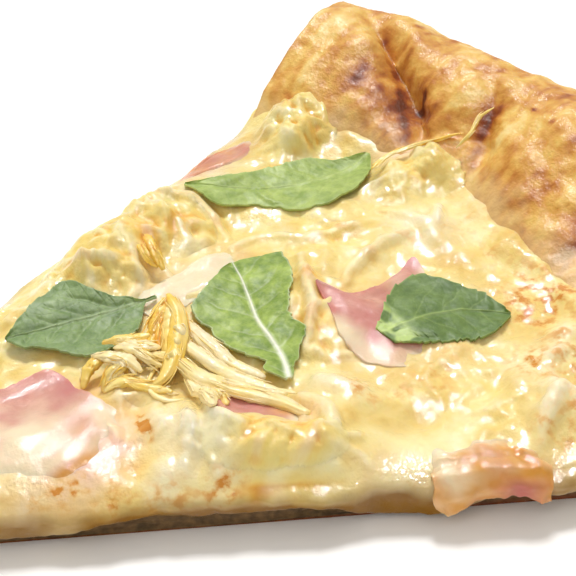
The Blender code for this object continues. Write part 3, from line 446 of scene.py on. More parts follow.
# Thick drops of white cheese, in the same numbers.
DROPS = [
    (-28.9, -27.2, 4.0, 3.0, 20.0, 1.3), (-24.7, -20.5, 3.2, 4.2, 10.0, 1.4),
    (-20.5, -25.5, 3.4, 4.5, -10.0, 1.5), (-22.5, -32.5, 3.5, 2.6, 30.0, 1.1),
    (3.5, -24.0, 5.5, 3.2, -50.0, 1.6), (33.1, -45.4, 3.0, 5.5, 20.0, 1.8),
    (28.4, -47.7, 3.0, 3.0, 0.0, 1.0), (44.0, -33.0, 5.0, 3.0, 20.0, 1.0),
    (36.0, -36.0, 6.0, 4.0, 0.0, 0.8)]
# Shreds under the cheese: the points of each, its width and its height.
COVERED = [
    ([(-1.1, 42.9), (5.6, 41.0), (10.5, 33.6), (10.3, 24.7)], 3.4, 1.6),
    ([(2.4, 24.5), (3.9, 29.5), (8.7, 28.4)], 2.6, 1.2),
    ([(-20.5, 30.0), (-19.5, 25.6), (-14.8, 22.8), (-12.3, 23.9)], 2.4, 1.5),
    ([(-4.0, 30.4), (-5.7, 23.0), (-5.3, 17.0)], 2.6, 1.3),
    ([(-9.6, 23.3), (-11.3, 17.8), (-16.3, 13.7)], 2.6, 1.3),
    ([(-24.9, 28.9), (-18.6, 33.3), (-9.8, 37.8)], 3.6, 1.5),
    ([(50.5, 11.6), (47.8, 8.6), (45.8, 6.1)], 2.4, 1.5),
    ([(18.2, 11.0), (14.8, 3.8), (10.3, -5.8), (4.8, -12.3), (6.2, -15.8)], 2.8, 1.6),
    ([(18.6, 1.5), (20.1, -1.2), (23.4, 2.2), (32.7, 6.1), (40.4, 7.4)], 2.6, 1.1),
    ([(-19.8, -15.6), (-22.5, -22.4), (-27.4, -30.0)], 3.0, 1.3),
    ([(-17.1, -17.3), (-18.6, -23.4), (-16.4, -27.4)], 2.6, 1.5),
    ([(-21.8, -35.9), (-18.0, -36.9), (-12.0, -37.2)], 2.4, 1.2),
    ([(-2.8, -23.0), (-1.7, -28.0), (-3.2, -34.1)], 3.6, 1.5),
    ([(33.1, -45.4), (28.4, -47.7), (23.5, -52.0)], 3.2, 1.3),
    ([(-40.3, 13.2), (-45.0, 8.4), (-52.2, 8.0)], 2.6, 0.9),
    ([(20.0, 17.0), (28.0, 14.5), (36.0, 14.0)], 3.0, 0.8),
    ([(8.0, 20.5), (16.0, 21.0), (24.0, 14.0)], 3.0, 0.9),
    ([(40.0, 16.0), (44.0, 10.0), (43.0, 2.0)], 3.4, 0.8),
    ([(62.0, -30.0), (56.0, -38.0), (52.0, -46.0)], 4.0, 0.8),
    ([(-52.0, 12.0), (-60.0, 6.0), (-66.0, 6.0)], 3.0, 0.8)]
# Fields of covered shreds: middle x and y, half length, half width, turn, how many, heading, widths,
# heights, and the seed of their random places.
FIELDS = [
    (-14.0, 29.0, 20.0, 8.0, 36.0, 46, 60.0, (1.2, 2.6), (0.5, 1.2), 1),
    (6.0, 38.5, 9.0, 7.0, 30.0, 16, 70.0, (1.2, 2.4), (0.4, 1.0), 2),
    (-34.0, 22.0, 12.0, 4.5, 26.0, 14, 30.0, (1.4, 2.6), (0.4, 0.9), 3),
    (-13.0, -32.0, 12.0, 7.0, -26.0, 34, -10.0, (1.0, 2.2), (0.4, 1.1), 4),
    (11.0, -6.0, 5.5, 13.0, -20.0, 22, 75.0, (1.2, 2.4), (0.4, 1.0), 5),
    (54.0, 22.0, 12.0, 6.0, 10.0, 26, 20.0, (1.0, 2.0), (0.4, 1.0), 6),
    (41.0, 50.0, 7.0, 7.0, 40.0, 20, 60.0, (1.2, 2.4), (0.5, 1.2), 7),
    (25.0, 10.0, 14.0, 7.0, 10.0, 14, 20.0, (1.6, 3.0), (0.3, 0.7), 8),
    (-26.0, -14.0, 8.0, 6.0, 0.0, 14, 50.0, (1.0, 2.2), (0.4, 0.9), 9),
    (-62.0, 0.0, 16.0, 6.0, 0.0, 14, 10.0, (1.4, 2.6), (0.3, 0.7), 10),
    (40.0, -40.0, 12.0, 7.0, -25.0, 10, 40.0, (1.6, 3.2), (0.3, 0.8), 11),
    (-5.0, 8.0, 10.0, 5.0, 30.0, 8, 20.0, (1.2, 2.2), (0.3, 0.6), 12)]

net_x = np.arange(-97.0, 100.0, NET_STEP)
net_y = np.arange(-84.0, 84.0, NET_STEP)
X, Y = np.meshgrid(net_x, net_y, indexing="ij")
radius_net = np.hypot(X - TIP_X, Y)
angle_net = np.degrees(np.arctan2(Y, X - TIP_X))


def mound(x, y, spec):
    """A smooth oval lump: the bell curve of the distance from its middle, in its own length and width."""
    at_x, at_y, length, width, turn, high = spec
    along = math.radians(turn)
    u = ((x - at_x) * math.cos(along) + (y - at_y) * math.sin(along)) / length
    v = ((y - at_y) * math.cos(along) - (x - at_x) * math.sin(along)) / width
    return high * np.exp(-u * u - v * v)


def blurred(net, millimetres):
    """A net smoothed over this distance by three passes of a running mean both ways."""
    reach = max(1, int(round(millimetres / NET_STEP)))
    out = net
    for _ in range(3):
        for axis in (0, 1):
            wide = np.concatenate([np.repeat(out.take([0], axis), reach, axis), out,
                                   np.repeat(out.take([-1], axis), reach, axis)], axis)
            total = np.cumsum(wide, axis=axis)
            count = out.shape[axis]
            first = np.arange(count)
            lower = np.where(first > 0, first - 1, 0)
            run = total.take(first + 2 * reach, axis) - total.take(lower, axis)
            at_start = np.where(first == 0, 1.0, 0.0).reshape((-1, 1) if axis == 0 else (1, -1))
            run = run + at_start * total.take([0], axis)
            out = run / (2 * reach + 1)
    return out


def press_shred(net, line, width, high):
    """Raise the net to a shred with a round top: the highest half ellipse about any point of its line."""
    ends = np.sin(np.pi * np.linspace(0.06, 0.94, len(line)))**0.5
    low = line.min(axis=0) - width
    top = line.max(axis=0) + width
    i0, i1 = np.searchsorted(net_x, (low[0], top[0]))
    j0, j1 = np.searchsorted(net_y, (low[1], top[1]))
    x = X[i0:i1, j0:j1, None]
    y = Y[i0:i1, j0:j1, None]
    near = 1.0 - ((x - line[:, 0])**2 + (y - line[:, 1])**2) / (0.5 * width * (0.5 + 0.5 * ends))**2
    lifted = (high * ends * np.sqrt(np.maximum(near, 0.0))).max(axis=2) if i1 > i0 and j1 > j0 else 0.0
    net[i0:i1, j0:j1] = np.maximum(net[i0:i1, j0:j1], lifted)


def read_net(net, x, y):
    """The net's value at any place, blended between its four nearest points."""
    u = np.clip((x - net_x[0]) / NET_STEP, 0, len(net_x) - 1.001)
    v = np.clip((y - net_y[0]) / NET_STEP, 0, len(net_y) - 1.001)
    i = u.astype(int)
    j = v.astype(int)
    s = u - i
    t = v - j
    near = net[i, j] * (1 - s) + net[i + 1, j] * s
    far = net[i, j + 1] * (1 - s) + net[i + 1, j + 1] * s
    return near * (1 - t) + far * t


def scattered_lines(field):
    """Bent lines spread at random over an oval, mostly along one heading, each with its width and height."""
    at_x, at_y, length, width, turn, count, heading, widths, heights, seed = field
    draw = np.random.default_rng(seed)
    spread = np.sqrt(draw.random(count))
    around = draw.random(count) * 2 * math.pi
    u = length * spread * np.cos(around)
    v = width * spread * np.sin(around)
    along = math.radians(turn)
    middle_x = at_x + u * math.cos(along) - v * math.sin(along)
    middle_y = at_y + u * math.sin(along) + v * math.cos(along)
    course = np.radians(heading + draw.normal(0, 38, count))
    reach = draw.uniform(3.0, 9.0, count)
    bend = draw.normal(0, 0.7, count)
    share = np.linspace(-0.5, 0.5, 18)
    lines = []
    for k in range(count):
        turned = course[k] + bend[k] * share * 2.0
        step = reach[k] * (share[1] - share[0])
        x = middle_x[k] + np.cumsum(np.cos(turned)) * step - reach[k] * 0.5 * math.cos(course[k])
        y = middle_y[k] + np.cumsum(np.sin(turned)) * step - reach[k] * 0.5 * math.sin(course[k])
        lines.append((np.stack([x, y], axis=1), draw.uniform(*widths), draw.uniform(*heights)))
    return lines


level = CHEESE_TOP + 0.35 * np.sin(X / 6.1 + Y / 9.0) + 0.3 * np.sin(Y / 5.3 - X / 11.0 + 1.0)
for spec in MOUNDS:
    level = level + mound(X, Y, spec)
shreds_under = np.zeros_like(level)
for points, width, high in COVERED:
    press_shred(shreds_under, curve_through(points, 40), width, high)
small_under = np.zeros_like(level)
for field in FIELDS:
    for line, width, high in scattered_lines(field):
        press_shred(small_under, line, width, high)
drops = sum(mound(X, Y, spec) for spec in DROPS)
# One calm patch of plain cheese near the near side, and a wide grainy one towards the rim.
calm = soft_step(1.4 - np.hypot((X - 4.0) / 10.0, (Y + 44.0) / 7.0))
grainy = soft_step(1.5 - np.hypot((X - 30.0) / 30.0, (Y + 28.0) / 24.0)) * (1 - calm)
lumps = 0.6 * hills(X, Y, 9.0, 41, 2) + 0.34 * hills(X, Y, 4.2, 42, 2)
grain = 0.14 * hills(X, Y, 1.9, 43, 2) * (0.4 + 0.9 * grainy)
# The cheese follows the shreds under it, softened. Thin strings of it run where slow hills cross zero.
relief = 1.1 * blurred(shreds_under, 0.4) + 0.3 * shreds_under
relief = relief + 0.9 * blurred(small_under, 0.35) + 0.4 * small_under + 1.5 * drops
strings = soft_step(1.0 - np.abs(hills(X, Y, 8.0, 46, 2)) / 0.2) * soft_step(hills(X, Y, 13.0, 47, 2) + 0.5)
relief = relief + (lumps + grain + 0.75 * blurred(strings, 0.35)) * (1 - 0.75 * calm)
cheese_net = level + relief
# Towards a cut side its top goes over to the height of the edge.
to_cut = radius_net * np.sin(np.radians(np.maximum(HALF_ANGLE - np.abs(angle_net), 0.0)))
edge_level = CHEESE_TOP - 2.0 + 0.45 * blurred(relief, 1.0) + 0.3 * hills(X, Y, 9.0, 45, 2)
cheese_net = cheese_net - (cheese_net - edge_level) * np.exp(-to_cut / 2.8)

# The rim's height on the same net, so that cheese and shreds can climb it.
foot_net = rim_foot(angle_net)
width_net = rim_outer(angle_net) - foot_net
share_net = np.clip((radius_net - foot_net) / width_net, -0.2, 1.0)
rising = RIM_PROFILE[:10]
rim_net = np.interp(share_net, [point[0] for point in rising], [point[1] for point in rising])
rim_net = np.where(share_net > 0, 8.0 + (rim_net - 8.0) * (1.0 - fold_depth(radius_net, angle_net)), 0.0)
edge_radius = foot_net + CHEESE_ENDS * width_net
climb = soft_step((radius_net - edge_radius + 12.0) / 14.0)**2
meet = 13.0 - 3.0 * fold_depth(edge_radius, angle_net) + 0.9 * hills(X, Y, 7.0, 51, 3)
cheese_net = cheese_net * (1 - climb) + (meet + 0.5 * relief) * climb
# How far each place lies below the smoothed cheese: above 0 in hollows, below 0 on crests.
# The colours use it for a golden tint in hollows, partly painted shade, and for whiter crests, painted light.
hollows = blurred(cheese_net, 1.3) - cheese_net

EDGE_RINGS = 16
NET_ROWS = 330
TOP_COLUMNS = 236
row_share = np.linspace(0, 1, NET_ROWS + 1)[:, None]
column_angle = np.linspace(-HALF_ANGLE, HALF_ANGLE, TOP_COLUMNS + 1)[None]
column_foot = rim_foot(column_angle)
column_edge = column_foot + CHEESE_ENDS * (rim_outer(column_angle) - column_foot) + 3.5
cheese_radius = np.maximum(row_share * column_edge, 1.0 - 0.5 * row_share)
top = to_row(cheese_radius, column_angle, 0.0)
top[..., 2] = read_net(cheese_net, top[..., 0], top[..., 1])
# Its last 7 mm dive into the rim, so no gap shows along its end.
dive = soft_step((cheese_radius - column_edge + 7.0) / 7.0)
top[..., 2] -= 3.4 * dive


def drip_bottom(radius, side):
    """How low the cheese hangs on a cut side: it shows a strip of dough, except where it ran down."""
    wave = 0.35 * np.sin(radius / 4.3 + side) + 0.3 * hills(radius, side * 9.0, 5.0, 61, 3)
    if side < 0:
        run = 2.7 * np.exp(-((radius - 110.0) / 13.0)**4) + 1.6 * soft_step((62.0 - radius) / 12.0)
    else:
        run = 1.2 * np.exp(-((radius - 60.0) / 14.0)**2) + 1.6 * np.exp(-((radius - 120.0) / 12.0)**2)
    return np.clip(3.3 + wave - run, 0.25, 4.0)


def overhang(radius, side):
    """How far the cheese bulges out past a cut side."""
    drip = 0.9 * np.exp(-((radius - 113.0) / 7.0)**2) if side < 0 else 0.0
    wave = 0.5 * np.sin(radius / 5.7 + 2.0 * side) + 0.3 * np.sin(radius / 2.9)
    wave = wave + 0.35 * hills(radius, side * 5.0, 4.0, 62, 3)
    return np.maximum(1.8 + wave + drip, 0.8)


def edge_of(side):
    """The cheese's bulge at a cut side: from its top edge out, down to the lip and back under."""
    start = top[:, 0] if side < 0 else top[:, -1]
    out = np.array([-math.sin(math.radians(HALF_ANGLE)), side * math.cos(math.radians(HALF_ANGLE))])
    radius = np.hypot(start[:, 0] - TIP_X, start[:, 1])
    bulge = overhang(radius, side) * soft_step(radius / 4.0 + 0.3)
    low = drip_bottom(radius, side)
    high = start[:, 2]
    aways = np.stack([0 * bulge, 0.6 * bulge, bulge, 0.9 * bulge, 0.35 * bulge, 0 * bulge + 0.1], axis=1)
    heights = np.stack([high, high - 0.75, 0.6 * high + 0.4 * low, low + 0.9, low, low + 0.8], axis=1)
    section = []
    for part in np.linspace(0, 1, EDGE_RINGS + 1)[1:]:
        k = min(int(part * 5), 4)
        f = soft_step(part * 5 - k) * 0.5 + (part * 5 - k) * 0.5
        away = aways[:, k] * (1 - f) + aways[:, k + 1] * f
        height = heights[:, k] * (1 - f) + heights[:, k + 1] * f
        rough = 0.28 * hills(radius, part * 9.0 + side * 20.0, 3.0, 63, 3) * math.sin(math.pi * part)
        place = start[:, :2] + out * (away + rough)[:, None]
        section.append(np.column_stack([place, height]))
    return np.stack(section, axis=1)


near_edge = edge_of(-1)
far_edge = edge_of(1)
under_share = np.linspace(0, 1, 8)[None, 1:-1, None]
floor_height = BASE_THICKNESS - 0.3
slant = math.radians(HALF_ANGLE)
far_in = far_edge[:, -1:] + np.array([math.sin(slant), -math.cos(slant), 0.0]) * 0.6
near_in = near_edge[:, -1:] + np.array([math.sin(slant), math.cos(slant), 0.0]) * 0.6
far_in[..., 2] = floor_height
near_in[..., 2] = floor_height
underside = far_in * (1 - under_share) + near_in * under_share
cheese = np.concatenate([top, far_edge, far_in, underside, near_in, near_edge[:, ::-1]], axis=1)
rows, columns = cheese.shape[:2]
tip_middle = cheese[0].mean(axis=0)
rim_middle = to_row(column_edge[0, TOP_COLUMNS // 2], 0.0, 6.0)
cheese_points = np.vstack([cheese.reshape(-1, 3), tip_middle, rim_middle])
ring = np.arange(columns)
following = np.roll(ring, -1)
tip_fan = np.stack([ring, following, np.full(columns, rows * columns)], axis=1)
last = (rows - 1) * columns
rim_fan = np.stack([last + following, last + ring, np.full(columns, rows * columns + 1)], axis=1)
cheese_faces = [grid_faces(rows, columns, wrap=True), tip_fan, rim_fan]

# Where the cheese is browned, stained pink by ham below, yellow, or thick and white, in a lump's numbers.
BROWNED = [
    (46.0, -22.0, 9.0, 6.0, 20.0, 0.8), (38.0, -38.0, 8.0, 6.0, -20.0, 0.55),
    (18.0, -30.0, 9.0, 5.0, 10.0, 0.4), (30.0, -52.0, 7.0, 4.0, -25.0, 0.6),
    (6.0, -28.0, 4.0, 6.0, 20.0, 0.5), (-32.0, -30.0, 9.0, 3.0, -25.0, 0.45),
    (28.0, 15.0, 5.0, 3.0, 30.0, 0.45), (52.0, 20.0, 5.0, 3.0, 0.0, 0.3),
    (42.0, 16.0, 5.0, 2.5, 40.0, 0.4), (-22.0, -33.0, 5.0, 3.0, 10.0, 0.5),
    (-12.0, -29.0, 3.0, 2.5, 0.0, 0.6), (56.0, -36.0, 8.0, 7.0, 0.0, 0.6),
    (-28.1, -17.4, 2.8, 0.8, 80.0, 2.6), (-52.0, 4.0, 8.0, 4.0, 10.0, 0.2),
    (-70.0, -4.0, 8.0, 5.0, 0.0, 0.25), (-17.0, -13.0, 4.0, 3.0, 40.0, 0.4),
    (-44.0, -21.9, 7.5, 1.3, -12.0, 0.7)]
PINK = [
    (-40.0, -14.0, 15.0, 12.0, 10.0, 0.7), (-3.0, 15.0, 13.0, 6.0, 15.0, 0.6),
    (22.0, -14.0, 12.0, 12.0, 0.0, 0.5), (20.0, 50.0, 12.0, 5.0, 15.0, 0.6),
    (16.0, -55.0, 9.0, 6.0, -25.0, 0.7), (60.0, 3.0, 4.0, 8.0, 10.0, 0.55),
    (-37.0, -18.5, 6.0, 4.0, -20.0, 0.7), (54.0, 33.0, 6.0, 5.0, 60.0, 0.6),
    (-6.0, -27.0, 6.0, 4.0, 0.0, 0.5)]
YELLOWED = [
    (-35.0, -24.0, 9.0, 2.5, -12.0, 0.9), (-31.0, -20.0, 4.0, 3.0, 0.0, 0.5),
    (-12.0, -33.0, 5.0, 2.5, -15.0, 0.6)]
WHITENED = [(3.0, -44.0, 9.0, 6.0, 0.0, 0.55), (46.0, 6.0, 8.0, 8.0, 0.0, 0.5)]
shred_net = blurred(small_under + shreds_under, 0.35)


def patches(x, y, specs):
    """The sum of a list of oval patches at a place."""
    return sum(mound(x, y, spec) for spec in specs)


def brown_at(x, y):
    """How browned the cheese is at a place: set patches broken up by noise, and more towards the rim."""
    amount = patches(x, y, BROWNED) * (0.8 + 0.5 * hills(x, y, 4.0, 71, 3))
    amount = amount + 0.3 * soft_step(hills(x, y, 7.0, 72, 4) - 0.3)
    return amount + 0.25 * soft_step((np.hypot(x - TIP_X, y) - 128.0) / 22.0) * (y < 5.0)


def pink_at(x, y):
    """How pink the cheese is at a place: where ham shows through or has stained it."""
    return patches(x, y, PINK) * (0.8 + 0.5 * hills(x, y, 5.0, 73, 2))


def white_and_crest_light_at(x, y):
    """How white the cheese is at a place: over thick drops and in some patches, and on crests as painted
    light.
    """
    amount = patches(x, y, DROPS) * 0.4 + 0.4 * soft_step(hills(x, y, 6.0, 76, 3) - 0.35)
    # Crests are painted whiter: painted light.
    amount = amount + 0.5 * soft_step(-1.6 * read_net(hollows, x, y) - 0.1)
    return amount + patches(x, y, WHITENED)


def painted_side_shade_at(x, y, z):
    """How far down the cut side a place is: there the cheese is thin, and painted darker golden brown as
    painted shade.
    """
    radius = np.hypot(x - TIP_X, y)
    return soft_step((8.0 - z) / 4.0) * (0.93 + 0.3 * hills(radius, z * 2.0, 6.0, 75, 3))


def yellow_and_hollow_shade_at(x, y):
    """How yellow the cheese is at a place: over the shreds under it, in some patches, and in hollows, partly
    as painted shade.
    """
    over_shreds = 1.1 * read_net(shred_net, x, y) * (0.55 + 0.6 * hills(x, y, 6.0, 74, 3))
    oil_and_shade_in_hollows = 1.5 * np.maximum(read_net(hollows, x, y), 0.0) * (0.8 + 0.6 * hills(x, y, 9.0, 77, 2))
    return over_shreds + patches(x, y, YELLOWED) + oil_and_shade_in_hollows


cheese_x, cheese_y, cheese_z = cheese_points.T
cheese_fields = {
    "brown": brown_at(cheese_x, cheese_y), "pink": pink_at(cheese_x, cheese_y),
    "yellow": yellow_and_hollow_shade_at(cheese_x, cheese_y), "side": painted_side_shade_at(cheese_x, cheese_y, cheese_z),
    "white": white_and_crest_light_at(cheese_x, cheese_y)}

# Melted cheese: cream to pale yellow, soft to light, and wet with its own fat, so it glints in small spots.
# Its tints cloud every 8 mm, and its browning is broken into flecks 2 mm apart.
cheese_finish, tree, shader = new_material(
    "melted_cheese", Roughness=0.38, IOR=1.45, Specular_IOR_Level=0.12, Subsurface_Weight=0.35,
    Subsurface_Scale=0.0014, Subsurface_Radius=(1.0, 0.75, 0.35), Coat_Roughness=0.05)
place_at = add_node(tree, "ShaderNodeTexCoord").outputs["Object"]
fields = {name: add_node(tree, FIELD, attribute_name=name).outputs["Fac"]
          for name in ("brown", "pink", "yellow", "side", "white")}
cloud = add_node(tree, NOISE, {"Vector": place_at, "Scale": 130.0, "Detail": 6.0}).outputs["Fac"]
base = add_node(tree, RAMP, {"Fac": cloud}, stops=[
    (0.30, "#DFBA62"), (0.74, "#F9F1C8"), (0.43, "#ECD17E"), (0.58, "#F4E29C")]).outputs[0]
richer = add_node(tree, MATH, {0: fields["yellow"], 1: 0.5}, operation="MULTIPLY").outputs[0]
# Its deep golden end shows in the hollows: partly the oil's colour, partly painted shade.
yellows = add_node(tree, RAMP, {"Fac": richer}, stops=[
    (0.1, "#F8E79E"), (1.0, "#DE9A38"), (0.45, "#F6D880"), (0.75, "#EDBA54")]).outputs[0]
tinted = add_node(tree, MIX, {0: fields["yellow"], 6: base, 7: yellows}, data_type="RGBA").outputs[2]
pink_cheese = {0: fields["pink"], 6: tinted, 7: linear("#EFC8B0")}
warmed = add_node(tree, MIX, pink_cheese, data_type="RGBA").outputs[2]
# Whiter over drops and in patches, and on crests as painted light.
white_cheese = {0: fields["white"], 6: warmed, 7: linear("#F9EFCF")}
paled = add_node(tree, MIX, white_cheese, data_type="RGBA").outputs[2]
speckle = add_node(tree, NOISE, {"Vector": place_at, "Scale": 520.0, "Detail": 5.0}).outputs["Fac"]
flecks = add_node(tree, SCALED, {"Value": speckle, "From Min": 0.42, "From Max": 0.62}).outputs[0]
patchy = add_node(tree, MATH, {0: fields["brown"], 1: flecks}, operation="MULTIPLY").outputs[0]
browned = add_node(tree, MATH, {0: patchy, 1: 1.7}, operation="MULTIPLY").outputs[0]
browns = add_node(tree, RAMP, {"Fac": browned}, stops=[
    (0.0, "#EFC878"), (1.0, "#D48E36"), (0.5, "#E4AC54")]).outputs[0]
toasted = add_node(tree, MIX, {0: browned, 6: paled, 7: browns}, data_type="RGBA").outputs[2]
# Low on the cut sides the cheese is painted dark golden brown: painted shade.
side_shade_mix = {0: fields["side"], 6: toasted, 7: linear("#8C621E")}
side_shaded = add_node(tree, MIX, side_shade_mix, data_type="RGBA").outputs[2]
tree.links.new(side_shaded, shader.inputs["Base Color"])
# The fat lies in patches 9 mm apart. The top ripples every 1.5 mm and is grained every 1 mm, and the beads of
# fat, 0.7 mm apart, move only its shine. All are drawn coarser than on real cheese, so that they show.
wet = add_node(tree, NOISE, {"Vector": place_at, "Scale": 110.0, "Detail": 4.0}).outputs["Fac"]
wet_share = add_node(tree, SCALED, {
    "Value": wet, "From Min": 0.38, "From Max": 0.56, "To Min": 0.02, "To Max": 1.0}).outputs[0]
tree.links.new(wet_share, shader.inputs["Coat Weight"])
waves = add_node(tree, NOISE, {"Vector": place_at, "Scale": 650.0, "Detail": 3.0}).outputs["Fac"]
wavy = add_node(tree, BUMP, {"Height": waves, "Strength": 0.5, "Distance": 0.00042}).outputs["Normal"]
crumbs = add_node(tree, NOISE, {"Vector": place_at, "Scale": 1000.0, "Detail": 3.0}).outputs["Fac"]
mild = add_node(tree, BUMP, {
    "Height": crumbs, "Strength": 0.5, "Distance": 0.0003, "Normal": wavy}).outputs["Normal"]
tree.links.new(mild, shader.inputs["Normal"])
beads = add_node(tree, NOISE, {"Vector": place_at, "Scale": 1500.0, "Detail": 2.0}).outputs["Fac"]
bump = add_node(tree, BUMP, {
    "Height": beads, "Strength": 0.9, "Distance": 0.0001, "Normal": wavy}).outputs["Normal"]
tree.links.new(bump, shader.inputs["Coat Normal"])

cheese_piece = make_piece(
    "melted_cheese", cheese_points, cheese_faces, cheese_fields, ["cheese"])
cheese_piece.data.materials.append(cheese_finish)

# The ham
# Torn slices of cooked ham, 1.4 mm thick, baked on the cheese: pink and wet, partly under a film of cheese.
# Each is a net of rings from its torn outline in. Where its edge isn't crisp it sinks into the cheese.

HAM_THICKNESS = 1.4
# Middle, corners as x, y and how crisp the edge is there, and the share under film.
HAMS = {
    "ham_near_tip": ((-43.0, -9.5), [
        (-34.6, 3.6, 1.0), (-32.6, -5.0, 1.0), (-28.6, -16.0, 0.12), (-36.0, -22.5, 0.1), (-45.2, -22.0, 0.1),
        (-53.0, -17.0, 0.1), (-58.0, -7.0, 0.1), (-52.0, 1.5, 0.4), (-43.5, 3.8, 1.0)], 0.5),
    "ham_middle": ((22.5, -13.0), [
        (36.5, 0.4, 1.0), (30.7, -2.2, 1.0), (25.6, -4.1, 1.0), (18.8, -4.8, 1.0), (15.0, 0.5, 1.0),
        (13.4, -6.2, 1.0),
        (10.6, -16.0, 0.7), (14.0, -23.6, 0.6), (20.0, -25.5, 0.3), (29.0, -26.0, 0.2), (33.5, -17.0, 0.3),
        (34.5, -8.0, 0.5)], 0.04),
    "ham_under_chicken": ((-11.5, -22.5), [
        (-4.5, -22.0, 0.5), (-10.0, -14.6, 0.9), (-15.6, -14.5, 0.9), (-18.0, -21.0, 0.9),
        (-16.0, -26.5, 0.8),
        (-11.5, -29.5, 0.5), (-6.5, -28.6, 0.3)], 0.2),
    "ham_far_middle": ((-3.0, 15.0), [
        (11.0, 17.5, 0.1), (7.2, 22.4, 0.1), (0.5, 21.3, 0.1), (-8.5, 18.2, 0.1), (-15.5, 15.5, 0.5),
        (-12.5, 9.5, 0.6), (-3.0, 9.0, 0.3), (6.0, 12.0, 0.1)], 0.75),
    "ham_far_edge": ((23.0, 50.5), [
        (34.3, 55.5, 0.2), (33.0, 51.0, 0.3), (27.4, 47.0, 0.2), (17.9, 46.6, 0.1), (9.0, 46.4, 0.3),
        (16.0, 50.5, 0.8), (24.5, 54.0, 0.8)], 0.15)}
HAM_AROUND = 200
HAM_RINGS = 40

# Cooked ham: pink meat, a film of cheese over part of it, and a wet shine.
# The grain of the meat is 2.6 mm, and the grit in its wet skin 0.8 mm.
ham_finish, tree, shader = new_material(
    "cooked_ham", Roughness=0.45, IOR=1.42, Specular_IOR_Level=0.15, Subsurface_Weight=0.4,
    Subsurface_Scale=0.0018, Subsurface_Radius=(1.0, 0.5, 0.35), Coat_Weight=0.6, Coat_Roughness=0.05)
place_at = add_node(tree, "ShaderNodeTexCoord").outputs["Object"]
film = add_node(tree, FIELD, attribute_name="film").outputs["Fac"]
rosy = add_node(tree, FIELD, attribute_name="rosy").outputs["Fac"]
toast = add_node(tree, FIELD, attribute_name="toast").outputs["Fac"]
meat = add_node(tree, NOISE, {"Vector": place_at, "Scale": 380.0, "Detail": 5.0}).outputs["Fac"]
flesh = add_node(tree, RAMP, {"Fac": meat}, stops=[(0.3, "#C98A7C"), (0.7, "#DFAA9A")]).outputs[0]
red = add_node(tree, MIX, {0: rosy, 6: flesh, 7: linear("#BD656C")}, data_type="RGBA").outputs[2]
orange = add_node(tree, MIX, {0: toast, 6: red, 7: linear("#D8983E")}, data_type="RGBA").outputs[2]
filmed = add_node(tree, MIX, {0: film, 6: orange, 7: linear("#F3E1C0")}, data_type="RGBA").outputs[2]
tree.links.new(filmed, shader.inputs["Base Color"])
grit = add_node(tree, NOISE, {"Vector": place_at, "Scale": 1200.0, "Detail": 4.0}).outputs["Fac"]
mild = add_node(tree, BUMP, {"Height": grit, "Strength": 0.3, "Distance": 0.0003}).outputs["Normal"]
tree.links.new(mild, shader.inputs["Normal"])
bump = add_node(tree, BUMP, {"Height": grit, "Strength": 0.9, "Distance": 0.00018}).outputs["Normal"]
tree.links.new(bump, shader.inputs["Coat Normal"])

# The height of all that lies below the next topping.
ground = np.maximum(cheese_net, rim_net)
bed = blurred(ground, 0.9)


def ring_share_of(x, y, middle, edge):
    """How far places lie from a slice's middle, as a share of the way to its edge, and its crispness."""
    turn = np.arctan2(edge[:, 1] - middle[1], edge[:, 0] - middle[0])
    order = np.argsort(turn)
    at = np.arctan2(y - middle[1], x - middle[0])
    to_edge = np.hypot(edge[:, 0] - middle[0], edge[:, 1] - middle[1])
    reach = np.interp(at, turn[order], to_edge[order], period=2 * math.pi)
    crisp = np.interp(at, turn[order], edge[order, 2], period=2 * math.pi)
    return np.hypot(x - middle[0], y - middle[1]) / reach, crisp


def ham_lift(x, y, share, crisp, seed):
    """How high a slice's top lies over the cheese: up where its edge is crisp, sinking in where it isn't."""
    inward = np.clip((1.0 - share) / 0.45 + 0.22 * hills(x, y, 7.0, seed + 40, 3), 0, 1)
    out = crisp + (1.0 - crisp) * soft_step(inward)
    ripple = 0.3 * hills(x, y, 6.0, seed + 90, 2) + 0.03 * hills(x, y, 1.6, seed + 95, 3)
    curl = 0.8 * soft_step((share - 0.7) / 0.3) * crisp * (0.4 + hills(x, y, 7.0, seed + 99, 2))
    return 1.6 * out - 0.9 + ripple * out + curl


def closed_sheet(flat, height, thick, around):
    """Points and faces of a thin sheet of rings: an upper and a lower face, and the rim between them."""
    rings = len(flat) // around
    points = np.vstack([np.column_stack([flat, height]), np.column_stack([flat, height - thick])])
    index = np.arange(rings * around).reshape(rings, around)
    index = np.concatenate([index, index[:, :1]], axis=1)
    quads = np.stack([index[:-1, :-1], index[:-1, 1:], index[1:, 1:], index[1:, :-1]], axis=-1).reshape(-1, 4)
    half = rings * around + 1
    fan = np.stack([index[-1, :-1], index[-1, 1:], np.full(around, half - 1)], axis=1)
    side = np.stack([index[0, :-1], index[0, :-1] + half, index[0, 1:] + half, index[0, 1:]], axis=1)
    return points, [quads, quads[:, ::-1] + half, fan, fan[:, ::-1] + half, side]


